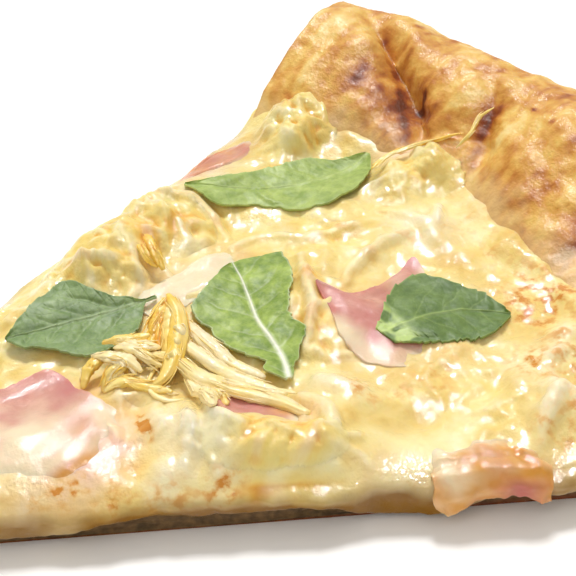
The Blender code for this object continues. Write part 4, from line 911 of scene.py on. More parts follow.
for number, (name, (middle, corners, film_share)) in enumerate(HAMS.items()):
    edge_line = curve_through(list(corners[-1:]) + list(corners) + list(corners[:2]), 900)
    turn = np.arctan2(edge_line[:, 1] - middle[1], edge_line[:, 0] - middle[0])
    around = np.linspace(-math.pi, math.pi, HAM_AROUND, endpoint=False)
    order = np.argsort(turn)
    to_edge = np.hypot(edge_line[:, 0] - middle[0], edge_line[:, 1] - middle[1])
    reach = np.interp(around, turn[order], to_edge[order], period=2 * math.pi)
    crisp = np.interp(around, turn[order], edge_line[order, 2], period=2 * math.pi).clip(0, 1)
    reach = reach * (1.0 + 0.025 * hills(np.cos(around) * 30, np.sin(around) * 30, 5.0, 80 + number, 3))
    edge = np.column_stack([middle[0] + reach * np.cos(around), middle[1] + reach * np.sin(around), crisp])
    ring_share = 1.0 - (np.arange(HAM_RINGS) / HAM_RINGS)**1.3
    flat = np.array(middle) + (edge[None, :, :2] - np.array(middle)) * ring_share[:, None, None]
    flat = np.vstack([flat.reshape(-1, 2), middle])
    x = flat[:, 0]
    y = flat[:, 1]
    share, crisp_at = ring_share_of(x, y, middle, edge)
    lift = ham_lift(x, y, share, crisp_at, number)
    points, faces = closed_sheet(flat, read_net(bed, x, y) + lift, HAM_THICKNESS, HAM_AROUND)
    soft_edge = soft_step((share - 0.45) / 0.5) * (1 - crisp_at)
    clouded = film_share + 0.5 * hills(x, y, 9.0, 101 + number, 3) + 0.9 * soft_edge
    film_field = soft_step(clouded * 1.3 - 0.2)
    rosy_field = 0.2 + 0.3 * hills(x, y, 5.0, 110 + number, 3)
    rosy_field = rosy_field + 0.35 * soft_step((share - 0.88) / 0.12) * crisp_at
    toast_field = np.zeros(len(x))
    if name == "ham_near_tip":
        pinker = soft_step((y + 0.6 * (x + 42.0) + 5.0) / 7.0)
        film_field = film_field * (1 - 0.9 * pinker)
        rosy_field = rosy_field * 0.6 + 0.75 * mound(x, y, (-34.5, -2.5, 3.0, 6.0, -15.0, 1.0))
        toast_field = 0.95 * mound(x, y, (-42.0, -19.5, 9.0, 1.5, 8.0, 1.0))
        toast_field = toast_field + 0.35 * mound(x, y, (-36.0, -15.0, 7.0, 5.0, -20.0, 1.0))
    if name == "ham_middle":
        rosy_field = rosy_field + 0.12
        toast_field = 0.45 * mound(x, y, (16.0, -23.0, 6.0, 2.0, -15.0, 1.0))
        toast_field = toast_field + 0.3 * mound(x, y, (27.0, -3.5, 2.0, 3.0, 0.0, 1.0))
    if name == "ham_under_chicken":
        # Its upper left, in the shade of the strands above, is painted redder: painted shade.
        rosy_field = rosy_field + 0.3 * mound(x, y, (-13.0, -16.0, 4.0, 4.0, 0.0, 1.0))
        toast_field = 0.7 * mound(x, y, (-7.0, -26.0, 3.0, 1.5, 0.0, 1.0))
    if name == "ham_far_edge":
        toast_field = 0.3 + 0.2 * hills(x, y, 3.0, 120, 2)
        rosy_field = rosy_field * 0.5
    if name == "ham_far_middle":
        rosy_field = rosy_field * 0.4
        film_field = film_field * 0.8 + 0.3
    film_field = film_field * (1 - toast_field.clip(0, 1))
    fields = {"film": film_field, "rosy": rosy_field.clip(0, 1), "toast": toast_field}
    both_faces = {key: np.tile(value, 2) for key, value in fields.items()}
    slice_piece = make_piece(name + "_slice", points, faces, both_faces, [name])
    slice_piece.data.materials.append(ham_finish)
    share, crisp_at = ring_share_of(X, Y, middle, edge)
    inside = share < 1.0
    ground[inside] = np.maximum(ground[inside], bed[inside] + ham_lift(
        X[inside], Y[inside], share[inside], crisp_at[inside], number))

# The slice of ham that folds over the near cut side, orange where it baked, red-purple low on the part that
# hangs.
EDGE_HAM_FROM = 111.5
EDGE_HAM_TO = 130.0
fold_run = np.linspace(0, 1, 90)[:, None]
fold_share = np.linspace(0, 1, 60)[None]
fold_radius = EDGE_HAM_FROM + (EDGE_HAM_TO - EDGE_HAM_FROM) * fold_run
torn = 1.1 * hills(fold_share * 16, 2.0 * fold_run, 6.0, 136, 2)
fold_radius = fold_radius + torn * (0.4 + np.abs(fold_run - 0.5))
fold_end = 1 - soft_step(np.minimum(fold_run, 1 - fold_run) / 0.1)
inward = 5.6 * (0.55 + 0.45 * np.sin(math.pi * (0.15 + 0.75 * fold_run)))
inward = inward + 0.9 * hills(fold_run * 30, 0 * fold_run, 5.0, 130, 3)
hang = 2.6 * (0.7 + 0.3 * np.sin(7.0 * fold_run + 0.5))
hang = hang + 0.8 * hills(fold_run * 30, 0 * fold_run, 4.0, 131, 3)
out = np.array([-math.sin(math.radians(HALF_ANGLE)), -math.cos(math.radians(HALF_ANGLE))])
cut_at = to_row(fold_radius, -HALF_ANGLE, 0.0)[..., :2]
bulge = overhang(fold_radius, -1) + 1.25
crest = read_net(blurred(ground, 0.7), *np.moveaxis(cut_at - out * 1.5, -1, 0)) + 0.8
top_reach = np.clip((fold_share - 0.55) / 0.45, 0, 1)
past_edge = 0.2 + (bulge - 0.2) * np.sin(np.minimum(top_reach * 2.6, 1.5708))
away = np.where(fold_share < 0.55, -inward + (inward + 0.2) * fold_share / 0.55, past_edge)
spot = cut_at + out * away[..., None]
lie = read_net(blurred(ground, 0.7), spot[..., 0], spot[..., 1]) - 0.25 + 1.2 * soft_step(fold_share / 0.35)
drop = (hang + 2.4) * np.maximum(top_reach - 0.12, 0.0) / 0.88
over = soft_step((away + 2.5) / 2.5)
lying = lie * (1 - over) + crest * over
height = np.where(fold_share < 0.55, lying, crest - drop - 0.6 * soft_step(top_reach / 0.3))
height = height - 0.9 * fold_end * soft_step((0.75 - fold_share) / 0.3)
bumpy = 0.35 * hills(fold_run * 20, fold_share * 16, 5.0, 132, 3)
bumpy = bumpy + 0.1 * hills(fold_run * 20, fold_share * 16, 1.5, 133, 2)
sheet = np.stack([spot[..., 0], spot[..., 1], height + bumpy * soft_step((0.7 - fold_share) / 0.2)], axis=-1)
sheet[..., :2] += out * ((bumpy - 0.5 * fold_end) * soft_step((fold_share - 0.5) / 0.2))[..., None]
hanging = soft_step((fold_share - 0.45) / 0.3) + 0 * fold_run
outward = np.stack([out[0] * hanging, out[1] * hanging, 1.0 - 0.9 * hanging], axis=-1)
back = sheet - outward / np.linalg.norm(outward, axis=-1, keepdims=True) * 1.1
rows, columns = sheet.shape[:2]
index = np.arange(rows * columns).reshape(rows, columns)
border = np.concatenate([index[0], index[1:, -1], index[-1, -2::-1], index[-2:0:-1, 0]])
half = rows * columns
sides = np.stack([border, np.roll(border, -1), np.roll(border, -1) + half, border + half], axis=1)
fx = sheet[..., 0].ravel()
fz = sheet[..., 2].ravel()
inner_side = (1 - soft_step(fold_share / 0.3) + 0 * fold_run).ravel()
film_field = 0.3 + 0.4 * hills(fx, fz * 2, 5.0, 134, 3) + 0.6 * inner_side
toast_field = 1.0 + 0.3 * hills(fx, fz, 4.0, 135, 3)
streak = np.exp(-(((fold_run + 0 * fold_share).ravel() - 0.74) / 0.2)**2)
rosy_field = 0.05 + 0.95 * streak * soft_step((8.6 - fz) / 2.2)
not_rosy = 1 - rosy_field.clip(0, 1)
toast_field = toast_field * (1 - 0.8 * rosy_field.clip(0, 1))
fields = {"film": np.tile(film_field * not_rosy, 2), "rosy": np.tile(rosy_field, 2),
          "toast": np.tile(toast_field, 2)}
faces = grid_faces(rows, columns)
edge_ham = make_piece("ham_near_edge_slice", np.vstack([sheet.reshape(-1, 3), back.reshape(-1, 3)]),
                      [faces, faces[:, ::-1] + half, sides], fields, ["ham_near_edge"])
edge_ham.data.materials.append(ham_finish)

# The chicken
# Cooked chicken torn into shreds. Most of it lies under cheese: soft ridges, yellow in the folds, partly
# painted shade.
# The heap in the middle and some strands are bare: bundles of pale fibres, frayed, golden with oil.

# Each heap: its oval core (x, y, half length, half width, turn, height), how many fine shreds, its covered
# ridges as points and a width, and its bare strands as points, a width and how golden they are.
HEAPS = {
    "chicken_middle": ((-19.0, -4.0, 9.0, 6.5, 50.0, 2.2), 80, [
        ([(-22.2, -15.0, 11.6), (-20.5, -19.5, 11.8), (-20.0, -24.0, 11.2)], 4.0),
        ([(-27.0, -9.5, 11.0), (-22.0, -13.0, 11.6), (-17.0, -15.0, 11.6)], 3.0),
        ([(-6.5, -24.5, 11.6), (-4.5, -28.0, 11.0), (-2.5, -30.5, 10.4)], 4.0)], [
        ([(-11.8, 5.5, 15.6), (-12.6, 0.2, 14.8), (-15.7, -5.2, 13.4), (-19.0, -8.8, 12.4),
          (-21.7, -10.3, 11.5),
          (-23.6, -9.6, 10.9)], 3.2, 0.55),
        ([(-12.0, 5.2, 15.5), (-15.1, 2.7, 14.4), (-17.7, 0.0, 13.4), (-19.8, -2.8, 12.2)], 3.0, 0.78),
        ([(-11.9, 5.0, 15.4), (-13.6, 1.2, 14.0), (-16.3, -3.5, 12.8), (-17.5, -6.0, 12.0)], 3.4, 0.45),
        ([(-13.0, 3.0, 12.6), (-11.5, 0.3, 12.6), (-10.8, -5.9, 12.6), (-9.1, -13.0, 12.0),
          (-6.4, -18.1, 11.6)],
         3.0, 0.10),
        ([(-20.0, -3.0, 12.0), (-17.2, -7.5, 12.3), (-16.0, -13.6, 12.2), (-13.6, -17.7, 12.1),
          (-10.1, -21.2, 11.8),
          (-6.7, -24.8, 11.3), (-4.4, -28.5, 10.6)], 3.8, 0.08),
        ([(-14.5, -2.0, 12.2), (-13.5, -8.0, 12.4), (-11.8, -14.0, 12.2), (-8.8, -19.5, 11.7),
          (-5.5, -23.5, 11.2)],
         3.0, 0.06),
        ([(-17.8, -12.7, 12.2), (-17.7, -16.8, 11.9), (-18.0, -20.3, 11.3), (-19.1, -24.0, 10.6)], 2.8, 0.12),
        ([(-15.4, -17.0, 12.2), (-15.3, -19.7, 11.8), (-15.6, -21.8, 10.9)], 1.8, 0.10),
        ([(-25.4, 3.4, 11.8), (-21.6, 1.3, 12.6), (-18.2, -0.2, 13.2)], 2.2, 0.40),
        ([(-24.0, 0.5, 12.6), (-21.0, -1.5, 12.9), (-18.0, -3.5, 12.6)], 2.8, 0.15),
        ([(-32.4, -3.8, 10.2), (-30.4, -1.8, 11.7), (-28.8, -1.1, 12.3), (-26.0, 0.5, 12.3)], 2.2, 0.60),
        ([(-29.9, -6.1, 10.3), (-27.8, -4.7, 12.0), (-25.5, -4.5, 13.0), (-22.5, -3.5, 13.0)], 2.6, 0.50),
        ([(-28.6, 0.6, 12.4), (-26.4, -2.4, 13.4), (-24.4, -4.6, 13.4), (-23.4, -7.4, 12.4)], 2.4, 0.12),
        ([(-24.6, 0.4, 12.8), (-22.6, -2.6, 13.6), (-21.4, -5.0, 13.2), (-19.6, -7.6, 12.2)], 2.2, 0.2),
        ([(-30.0, -6.6, 10.3), (-26.5, -7.0, 11.7), (-24.5, -9.2, 11.7), (-22.2, -11.6, 11.3),
          (-20.9, -13.4, 10.8)],
         2.4, 0.45)]),
    "chicken_far": ((-10.0, 28.5, 17.0, 8.0, 38.0, 3.4), 140, [
        ([(-4.4, 35.4, 14.0), (-7.7, 29.5, 14.6), (-9.4, 24.5, 13.6)], 4.4),
        ([(2.7, 35.0, 13.4), (1.4, 29.7, 13.8), (-0.1, 24.4, 12.6)], 4.0),
        ([(7.0, 36.7, 12.4), (7.3, 29.4, 12.6), (7.0, 25.0, 11.6)], 3.6),
        ([(-18.2, 24.4, 13.2), (-18.1, 21.5, 12.8), (-19.6, 19.4, 11.5)], 3.0),
        ([(-14.7, 22.0, 12.8), (-11.8, 20.5, 13.2), (-10.8, 18.0, 12.0)], 2.6),
        ([(-1.4, 25.6, 12.5), (2.7, 25.0, 13.4), (5.6, 24.8, 13.2), (7.6, 25.2, 12.2)], 2.2),
        ([(-20.1, 30.8, 12.6), (-19.9, 27.6, 13.2), (-18.8, 25.5, 12.6)], 2.6),
        ([(-22.9, 28.4, 11.6), (-17.6, 32.6, 12.2), (-9.8, 36.8, 12.4), (-2.0, 40.4, 12.0),
          (5.0, 40.6, 11.4)], 4.6),
        ([(-14.8, 30.0, 13.6), (-13.8, 26.0, 13.8), (-14.6, 22.8, 12.6)], 3.6)], [
        ([(-5.6, 26.4, 13.9), (-6.6, 21.8, 13.7), (-6.6, 19.4, 12.6), (-6.5, 17.8, 11.5)], 2.0, 0.72),
        ([(-8.2, 24.6, 13.8), (-8.0, 21.0, 13.0), (-7.2, 18.6, 12.0)], 1.4, 0.60)]),
    "chicken_rim_end": ((40.5, 49.5, 9.5, 7.0, 40.0, 3.0), 60, [
        ([(35.2, 51.4, 12.6), (37.6, 53.6, 14.0), (41.4, 54.4, 15.0), (45.4, 52.2, 15.4),
          (46.8, 48.6, 15.0)], 3.4),
        ([(36.6, 48.4, 12.6), (39.8, 49.9, 13.4), (41.1, 47.6, 13.6)], 3.0),
        ([(42.4, 57.0, 13.0), (40.4, 52.7, 13.2), (37.6, 46.5, 12.6), (37.3, 43.5, 11.6)], 3.0),
        ([(44.0, 47.0, 13.8), (41.0, 45.0, 12.8), (38.5, 43.5, 11.6)], 3.0)], []),
    "chicken_rim": ((54.5, 21.5, 12.0, 6.5, 8.0, 2.0), 72, [
        ([(44.6, 25.6, 11.6), (51.5, 26.5, 12.8), (57.7, 25.2, 13.8), (61.2, 23.4, 14.8)], 3.0),
        ([(45.5, 22.7, 11.6), (51.2, 21.7, 12.6), (56.0, 20.5, 13.0), (60.3, 19.8, 14.0)], 2.8),
        ([(56.6, 25.3, 13.8), (58.8, 21.5, 14.0), (57.6, 19.8, 13.2)], 2.2)], [
        ([(44.5, 26.6, 12.2), (49.5, 28.0, 12.9), (55.7, 27.2, 13.9), (60.2, 25.4, 14.9),
          (64.1, 22.6, 16.2)], 1.2, 0.5),
        ([(61.0, 20.8, 14.9), (64.0, 20.6, 17.2), (67.6, 22.2, 19.4), (70.6, 21.6, 20.9)], 0.9, 0.45)]),
    "chicken_near_edge": ((-14.0, -32.5, 10.5, 6.5, -28.0, 2.6), 72, [
        ([(-19.9, -27.6, 11.6), (-18.3, -27.6, 12.6), (-16.4, -28.7, 13.0), (-15.9, -30.9, 12.8),
          (-17.1, -32.3, 12.2),
          (-19.2, -32.0, 11.6)], 2.2),
        ([(-22.0, -32.0, 10.6), (-20.0, -35.0, 11.0), (-16.5, -35.6, 11.4), (-12.1, -35.0, 11.4),
          (-9.1, -33.4, 11.2)],
         2.8),
        ([(-18.0, -37.6, 10.4), (-13.5, -37.6, 10.8), (-8.5, -37.8, 10.6)], 2.6),
        ([(-12.5, -30.0, 11.4), (-9.6, -33.4, 11.4), (-8.6, -37.4, 10.6)], 2.6),
        ([(-5.8, -31.0, 11.0), (-5.6, -34.5, 11.0), (-6.6, -38.0, 10.2)], 2.6)], [])}
STRAND_STEPS = 44
STRAND_SIDES = 22
FIBRE_STEPS = 22
FIBRE_SIDES = 6

# Shredded chicken: pale cream meat, ribbed along its fibres, with a little shine from the oil.
# The fibres are 0.7 mm apart, drawn coarser than real ones so that they show.
chicken_finish, tree, shader = new_material(
    "shredded_chicken", Roughness=0.45, IOR=1.42, Subsurface_Weight=0.2, Subsurface_Scale=0.0005,
    Subsurface_Radius=(1.0, 0.8, 0.5), Coat_Weight=0.3, Coat_Roughness=0.12)
place_at = add_node(tree, "ShaderNodeTexCoord").outputs["Object"]
golden = add_node(tree, FIELD, attribute_name="golden").outputs["Fac"]
groove_shade_and_tone = add_node(tree, FIELD, attribute_name="groove_shade_and_tone").outputs["Fac"]
tint = add_node(tree, RAMP, {"Fac": golden}, stops=[
    (0.0, "#FDEDBE"), (1.0, "#F0A828"), (0.35, "#FDE594"), (0.7, "#FAD050")]).outputs[0]
# Grooves between the ribs are painted darker golden as painted shade; each thin fibre has its own random
# tone.
groove_shaded = add_node(tree, MIX, {0: groove_shade_and_tone, 6: tint, 7: linear("#F0C264")}, data_type="RGBA").outputs[2]
tree.links.new(groove_shaded, shader.inputs["Base Color"])
strands = add_node(tree, NOISE, {"Vector": place_at, "Scale": 1500.0, "Detail": 3.0}).outputs["Fac"]
bump = add_node(tree, BUMP, {"Height": strands, "Strength": 0.4, "Distance": 0.0003}).outputs["Normal"]
tree.links.new(bump, shader.inputs["Normal"])
tree.links.new(bump, shader.inputs["Coat Normal"])


def frame_along(line):
    """Unit vectors ahead, to the side and above along a line in space."""
    ahead = np.gradient(line, axis=0)
    ahead = ahead / np.maximum(np.linalg.norm(ahead, axis=1), 1e-6)[:, None]
    side = np.cross(ahead, [0.0, 0.0, 1.0])
    side = side / np.maximum(np.linalg.norm(side, axis=1), 1e-6)[:, None]
    return ahead, side, np.cross(side, ahead)


def strand_tube(line, width, flat, seed, sides):
    """A tube on a line, thin at both ends. Its reach is noise stretched along it, so ribs run lengthwise."""
    share = np.linspace(0, 1, len(line))
    along = np.concatenate([[0.0], np.cumsum(np.linalg.norm(np.diff(line, axis=0), axis=1))])[:, None]
    side, above = frame_along(line)[1:]
    turn = np.linspace(0, 2 * math.pi, sides, endpoint=False)[None]
    u = np.cos(turn) * width * 1.1 + 0.14 * along + seed * 3.1
    v = np.sin(turn) * width * 1.1 + 0.07 * along
    ribs = 1.0 + 0.18 * hills(u, v, 0.8, seed % 37, 3)
    thin = 0.1 + 0.9 * np.sin(math.pi * (0.01 + 0.98 * share))**0.55
    swell = 1.0 + 0.22 * hills(share * 30.0 + seed * 9.0, 0 * share, 4.0, 140, 3)
    reach = (0.5 * width * thin * swell)[:, None] * ribs
    points = (line[:, None] + side[:, None] * (reach * np.cos(turn))[..., None]
              + above[:, None] * (flat * reach * np.sin(turn))[..., None])
    return points, ribs


def join_tubes(tubes):
    """Points, faces and fields of many tubes in one mesh, each closed by a fan at both ends."""
    points, quads, fans, golden, groove_shade_and_tone = [], [], [], [], []
    start = 0
    for tube, gold, groove in tubes:
        rows, columns = tube.shape[:2]
        points += [tube.reshape(-1, 3), np.stack([tube[0].mean(axis=0), tube[-1].mean(axis=0)])]
        quads.append(grid_faces(rows, columns, wrap=True, start=start))
        for turn, end, tip in ((1, 0, 0), (-1, rows - 1, 1)):
            ring = np.arange(columns) + start + end * columns
            fan = np.stack([ring, np.roll(ring, -1), np.full(columns, start + rows * columns + tip)], axis=1)
            fans.append(fan[:, ::turn])
        golden.append(np.concatenate([gold.ravel(), gold[0, :1], gold[-1, :1]]))
        groove_shade_and_tone.append(np.concatenate([groove.ravel(), groove[0, :1], groove[-1, :1]]))
        start += rows * columns + 2
    return (np.vstack(points), [np.vstack(quads), np.vstack(fans)],
            {"golden": np.concatenate(golden), "groove_shade_and_tone": np.concatenate(groove_shade_and_tone)})


def bundle(line, width, hue, seed):
    """One bare shred: ribbed strands that part a little towards its ends, and thin fibres that fray."""
    draw = np.random.default_rng(seed)
    share = np.linspace(0, 1, len(line))
    side, above = frame_along(line)[1:]
    tubes = []
    for strand in range(4):
        aside = 0 * share
        if strand:
            aside = draw.normal(0, 0.2) * width * (0.5 + (2 * share - draw.uniform(0.2, 1.8))**2)
        up = draw.normal(0, 0.08) * width + 0.15 * np.sin(share * draw.uniform(5, 9))
        first = draw.uniform(0, 0.3) if strand else 0.0
        last = draw.uniform(0.7, 1.0) if strand else 1.0
        index = np.linspace(first, last, len(line)) * (len(line) - 1)
        own = line + side * aside[:, None] + above * up[:, None]
        own = np.stack([np.interp(index, np.arange(len(line)), own[:, axis]) for axis in range(3)], axis=1)
        tube, ribs = strand_tube(own, width * (0.95 if strand == 0 else draw.uniform(0.4, 0.68)), 0.65,
                                 seed * 5 + strand, STRAND_SIDES)
        gold = hue + 0.1 * draw.normal() + 0.2 * hills(tube[..., 0], tube[..., 1], 3.0, 150, 2)
        # The grooves between its ribs get painted shade.
        tubes.append((tube, np.clip(gold, 0, 1), np.clip(0.12 - (ribs - 0.95) * 1.2, 0, 0.5)))
    for _ in range(int(4 + width * 3)):
        first = draw.uniform(-0.04, 0.5)
        last = first + draw.uniform(0.2, 0.5)
        index = np.clip(np.linspace(first, min(last, 1.05), FIBRE_STEPS), 0, 1) * (len(line) - 1)
        own = np.stack([np.interp(index, np.arange(len(line)), line[:, axis]) for axis in range(3)], axis=1)
        aside = np.stack([np.interp(index, np.arange(len(line)), side[:, axis]) for axis in range(3)], axis=1)
        around = draw.uniform(0.0, math.pi) + draw.normal(0, 0.6) * np.linspace(0, 1, FIBRE_STEPS)
        stray = np.linspace(0, 1, FIBRE_STEPS)**3 * draw.uniform(0, 0.8)
        reach = 0.5 * width * 0.85 + stray
        own = own + aside * (reach * np.cos(around))[:, None]
        own[:, 2] += 0.6 * reach * np.sin(around) + 0.06
        tube = strand_tube(own, draw.uniform(0.16, 0.34), 0.9, seed + 11, FIBRE_SIDES)[0]
        gold = np.full(tube.shape[:2], np.clip(hue + 0.2 * draw.normal(), 0, 1))
        tubes.append((tube, gold, np.full(tube.shape[:2], draw.uniform(0.0, 0.25))))
    return tubes


def cells_sheet(height, mask, thick):
    """Points and faces of the net's cells inside the mask: an upper and a lower face, and the rim."""
    whole = mask[:-1, :-1] & mask[1:, :-1] & mask[1:, 1:] & mask[:-1, 1:]
    used = np.zeros(mask.shape, dtype=bool)
    for i in (0, 1):
        for j in (0, 1):
            used[i:i + whole.shape[0], j:j + whole.shape[1]] |= whole
    index = np.cumsum(used.ravel()).reshape(mask.shape) - 1
    corners = [index[:-1, :-1], index[1:, :-1], index[1:, 1:], index[:-1, 1:]]
    quads = np.stack([corner[whole] for corner in corners], axis=1)
    half = int(used.sum())
    edges = np.concatenate([quads[:, [k, (k + 1) % 4]] for k in range(4)])
    border = edges[~np.isin(edges[:, 0] * half + edges[:, 1], edges[:, 1] * half + edges[:, 0])]
    walls = np.column_stack([border[:, 1], border[:, 0], border[:, 0] + half, border[:, 1] + half])
    top = np.column_stack([X[used], Y[used], height[used]])
    low = top - np.array([0.0, 0.0, thick])
    return np.vstack([top, low]), [quads, quads[:, ::-1] + half, walls], used


signed_cut = radius_net * np.sin(np.radians(HALF_ANGLE - np.abs(angle_net)))
for number, (name, (core, count, ridge_list, bare_list)) in enumerate(HEAPS.items()):
    draw = np.random.default_rng(300 + number)
    smooth_ground = blurred(ground, 0.7)
    ridges = np.zeros_like(ground)
    for points, width in ridge_list:
        line = curve_through(points, STRAND_STEPS)
        rise = np.clip(line[:, 2] - read_net(smooth_ground, line[:, 0], line[:, 1]), 0.8, 2.2)
        press_shred(ridges, line[:, :2], width * 1.2, rise)
    fine = np.zeros_like(ground)
    for line, width, high in scattered_lines((*core[:2], core[2] * 0.95, core[3] * 0.95, core[4], count,
                                              core[4] + 60.0, (0.9, 2.2), (0.6, 1.5), 400 + number)):
        press_shred(fine, line, width, high)
    dome = mound(X, Y, (*core[:2], core[2], core[3], core[4], core[5] * 0.5))
    swell = blurred(dome + 0.75 * ridges, 0.6)
    swell = swell + (0.8 * blurred(fine, 0.3) + 0.5 * fine) * soft_step(swell / 1.4)
    swell = swell * soft_step((signed_cut - 0.8) / 4.0) * soft_step((159.0 - radius_net) / 6.0)
    swell = swell + 0.3 * hills(X, Y, 3.0, 190 + number, 3) * soft_step(swell / 1.5)
    swell = swell * (0.8 + 0.35 * hills(X, Y, 6.0, 198 + number, 2))
    swell = np.maximum(swell - 0.2, 0.0)
    settled = 0.6 * soft_step(swell / 1.2)
    sunk = 0.12 + 0.9 * soft_step((radius_net - edge_radius + 1.0) / 3.0)
    top_net = smooth_ground * settled + ground * (1 - settled) + swell - sunk * (1 - soft_step(swell / 1.2))
    mask = swell > 0.02
    points, faces, used = cells_sheet(top_net, mask, 1.0)
    x = X[used]
    y = Y[used]
    # A heap's hollows are painted more golden and less white: partly the oil, partly painted shade.
    hollow_oil_and_shade = np.clip((blurred(swell, 1.0) - swell)[used] * 1.7, 0, 1) * soft_step(swell[used] / 0.8)
    heap_yellow = yellow_and_hollow_shade_at(x, y) + 0.25 * (name == "chicken_near_edge")
    heap_yellow = heap_yellow + soft_step(swell[used] / 1.5) * (0.25 + 0.4 * hills(x, y, 4.0, 195, 2))
    heap_yellow = heap_yellow + 1.1 * hollow_oil_and_shade
    fields = {"brown": 0.6 * brown_at(x, y), "pink": pink_at(x, y), "yellow": heap_yellow,
              "side": painted_side_shade_at(x, y, top_net[used]), "white": white_and_crest_light_at(x, y) * (1 - hollow_oil_and_shade)}
    both_faces = {key: np.tile(value, 2) for key, value in fields.items()}
    coated = make_piece(name + "_coated", points, faces, both_faces, [name])
    coated.data.materials.append(cheese_finish)
    ground = np.where(mask, np.maximum(ground, top_net), ground)
    tubes = []
    for which, (points, width, hue) in enumerate(bare_list):
        line = curve_through(points, STRAND_STEPS)
        line[:, 2] = np.maximum(line[:, 2], read_net(ground, line[:, 0], line[:, 1]) + 0.15 * width)
        tubes += bundle(line, width, hue, 500 + number * 40 + which)
        raised = np.zeros_like(ground)
        press_shred(raised, line[:, :2], width, line[:, 2] + 0.3 * width)
        ground = np.maximum(ground, raised)
    # Short loose shreds lie on the bare heap in the middle.
    loose = scattered_lines((*core[:5], 16 if name == "chicken_middle" else 0, core[4] + 50.0,
                             (0.5, 1.1), (0.1, 0.5), 600 + number))
    for k, (line, width, high) in enumerate(loose):
        share = np.linspace(0, 1, len(line))
        height = read_net(ground, line[:, 0], line[:, 1]) + high * np.sin(math.pi * share)
        height = height + draw.uniform(0, 0.6) * share**2
        for _ in range(4):
            height[1:-1] = 0.25 * height[:-2] + 0.5 * height[1:-1] + 0.25 * height[2:]
        tube, ribs = strand_tube(np.column_stack([line, height]), width, 0.7, 700 + k, 12)
        gold = np.clip(draw.uniform(0.0, 0.5) + 0.2 * hills(tube[..., 0], tube[..., 1], 3.0, 151, 2), 0, 1)
        # The grooves between its ribs get painted shade.
        tubes.append((tube, gold, np.clip(0.3 - (ribs - 0.8) * 1.2, 0, 0.5)))
    if not tubes:
        continue
    points, faces, fields = join_tubes(tubes)
    bare = make_piece(name + "_bare", points, faces, fields, [name])
    bare.data.materials.append(chicken_finish)

# The leaves
# Four rocket leaves laid on after baking: limp, matte, with raised blades between sunken veins.
# A blade runs out from its midrib by half widths to each side, and lies softly over what is below it.

LEAF_THICKNESS = 0.5
# Midrib from the stem's end, half widths left and right in equal steps, the height at which they are given,
# the gap below, teeth, quilting, slot and colours.
LEAVES = {
    "leaf_tip_side": ([(-12.9, 9.2), (-16.0, 9.0), (-24.0, 9.6), (-32.0, 10.6), (-40.0, 11.5)],
                      [0.3, 0.4, 4.0, 7.1, 8.1, 9.4, 10.2, 10.0, 8.8, 6.6, 4.8, 3.6, 0.4],
                      [0.3, 0.5, 2.6, 4.6, 7.8, 11.2, 11.8, 10.6, 9.0, 7.4, 5.2, 2.8, 0.4],
                      13.2, 0.6, 0.25, 0.16, "leaf_grey_green", ("#6C8652", "#8EA66F", "#B8C898")),
    "leaf_far": ([(46.5, 30.5), (40.0, 27.5), (30.0, 27.5), (20.0, 31.0), (9.1, 39.9)],
                 [0.6, 2.7, 4.6, 6.5, 7.6, 8.8, 8.8, 7.4, 6.0, 6.3, 5.6, 2.8, 0.3],
                 [0.6, 2.9, 4.4, 7.1, 8.2, 8.4, 8.0, 7.4, 6.3, 5.3, 4.0, 1.6, 0.3],
                 13.6, 0.2, 0.2, 0.07, "leaf_light_green", ("#87A050", "#B2C672", "#C6D592")),
    "leaf_middle": ([(-5.9, -24.8), (-4.1, -19.8), (-3.1, -14.4), (-2.4, -8.6), (-0.2, -1.5), (1.5, 4.3),
                     (2.4, 9.0)],
                    [0.5, 3.4, 3.0, 5.4, 7.3, 8.3, 8.8, 10.4, 10.2, 8.8, 6.6, 4.0, 0.5],
                    [0.5, 1.5, 3.0, 4.9, 6.8, 5.7, 6.0, 6.5, 7.4, 8.4, 9.3, 9.7, 9.7],
                    15.2, 0.5, 0.25, 0.10, "leaf_bright_green", ("#6F8C38", "#A8BF60", "#F3F6E4")),
    "leaf_rim_side": ([(15.8, -20.0), (20.0, -19.5), (26.0, -20.0), (32.0, -22.0), (38.2, -27.0)],
                      [2.0, 3.4, 5.4, 7.9, 9.6, 11.3, 12.0, 9.8, 7.4, 5.8, 4.3, 2.4, 0.5],
                      [3.0, 4.4, 6.0, 6.9, 7.5, 7.9, 8.3, 8.5, 8.5, 8.2, 7.4, 4.8, 0.5],
                      12.8, 0.2, 0.45, 0.03, "leaf_dark_green", ("#4F6C32", "#758F50", "#BDD483"))}
LEAF_ALONG = 170
LEAF_ACROSS = 101
VEIN_STEP = 5.4
# A place one millimetre lower looks the same from the camera when it lies this far off in x and y.
SIGHT_SHIFT = np.array([0.715, 1.179])


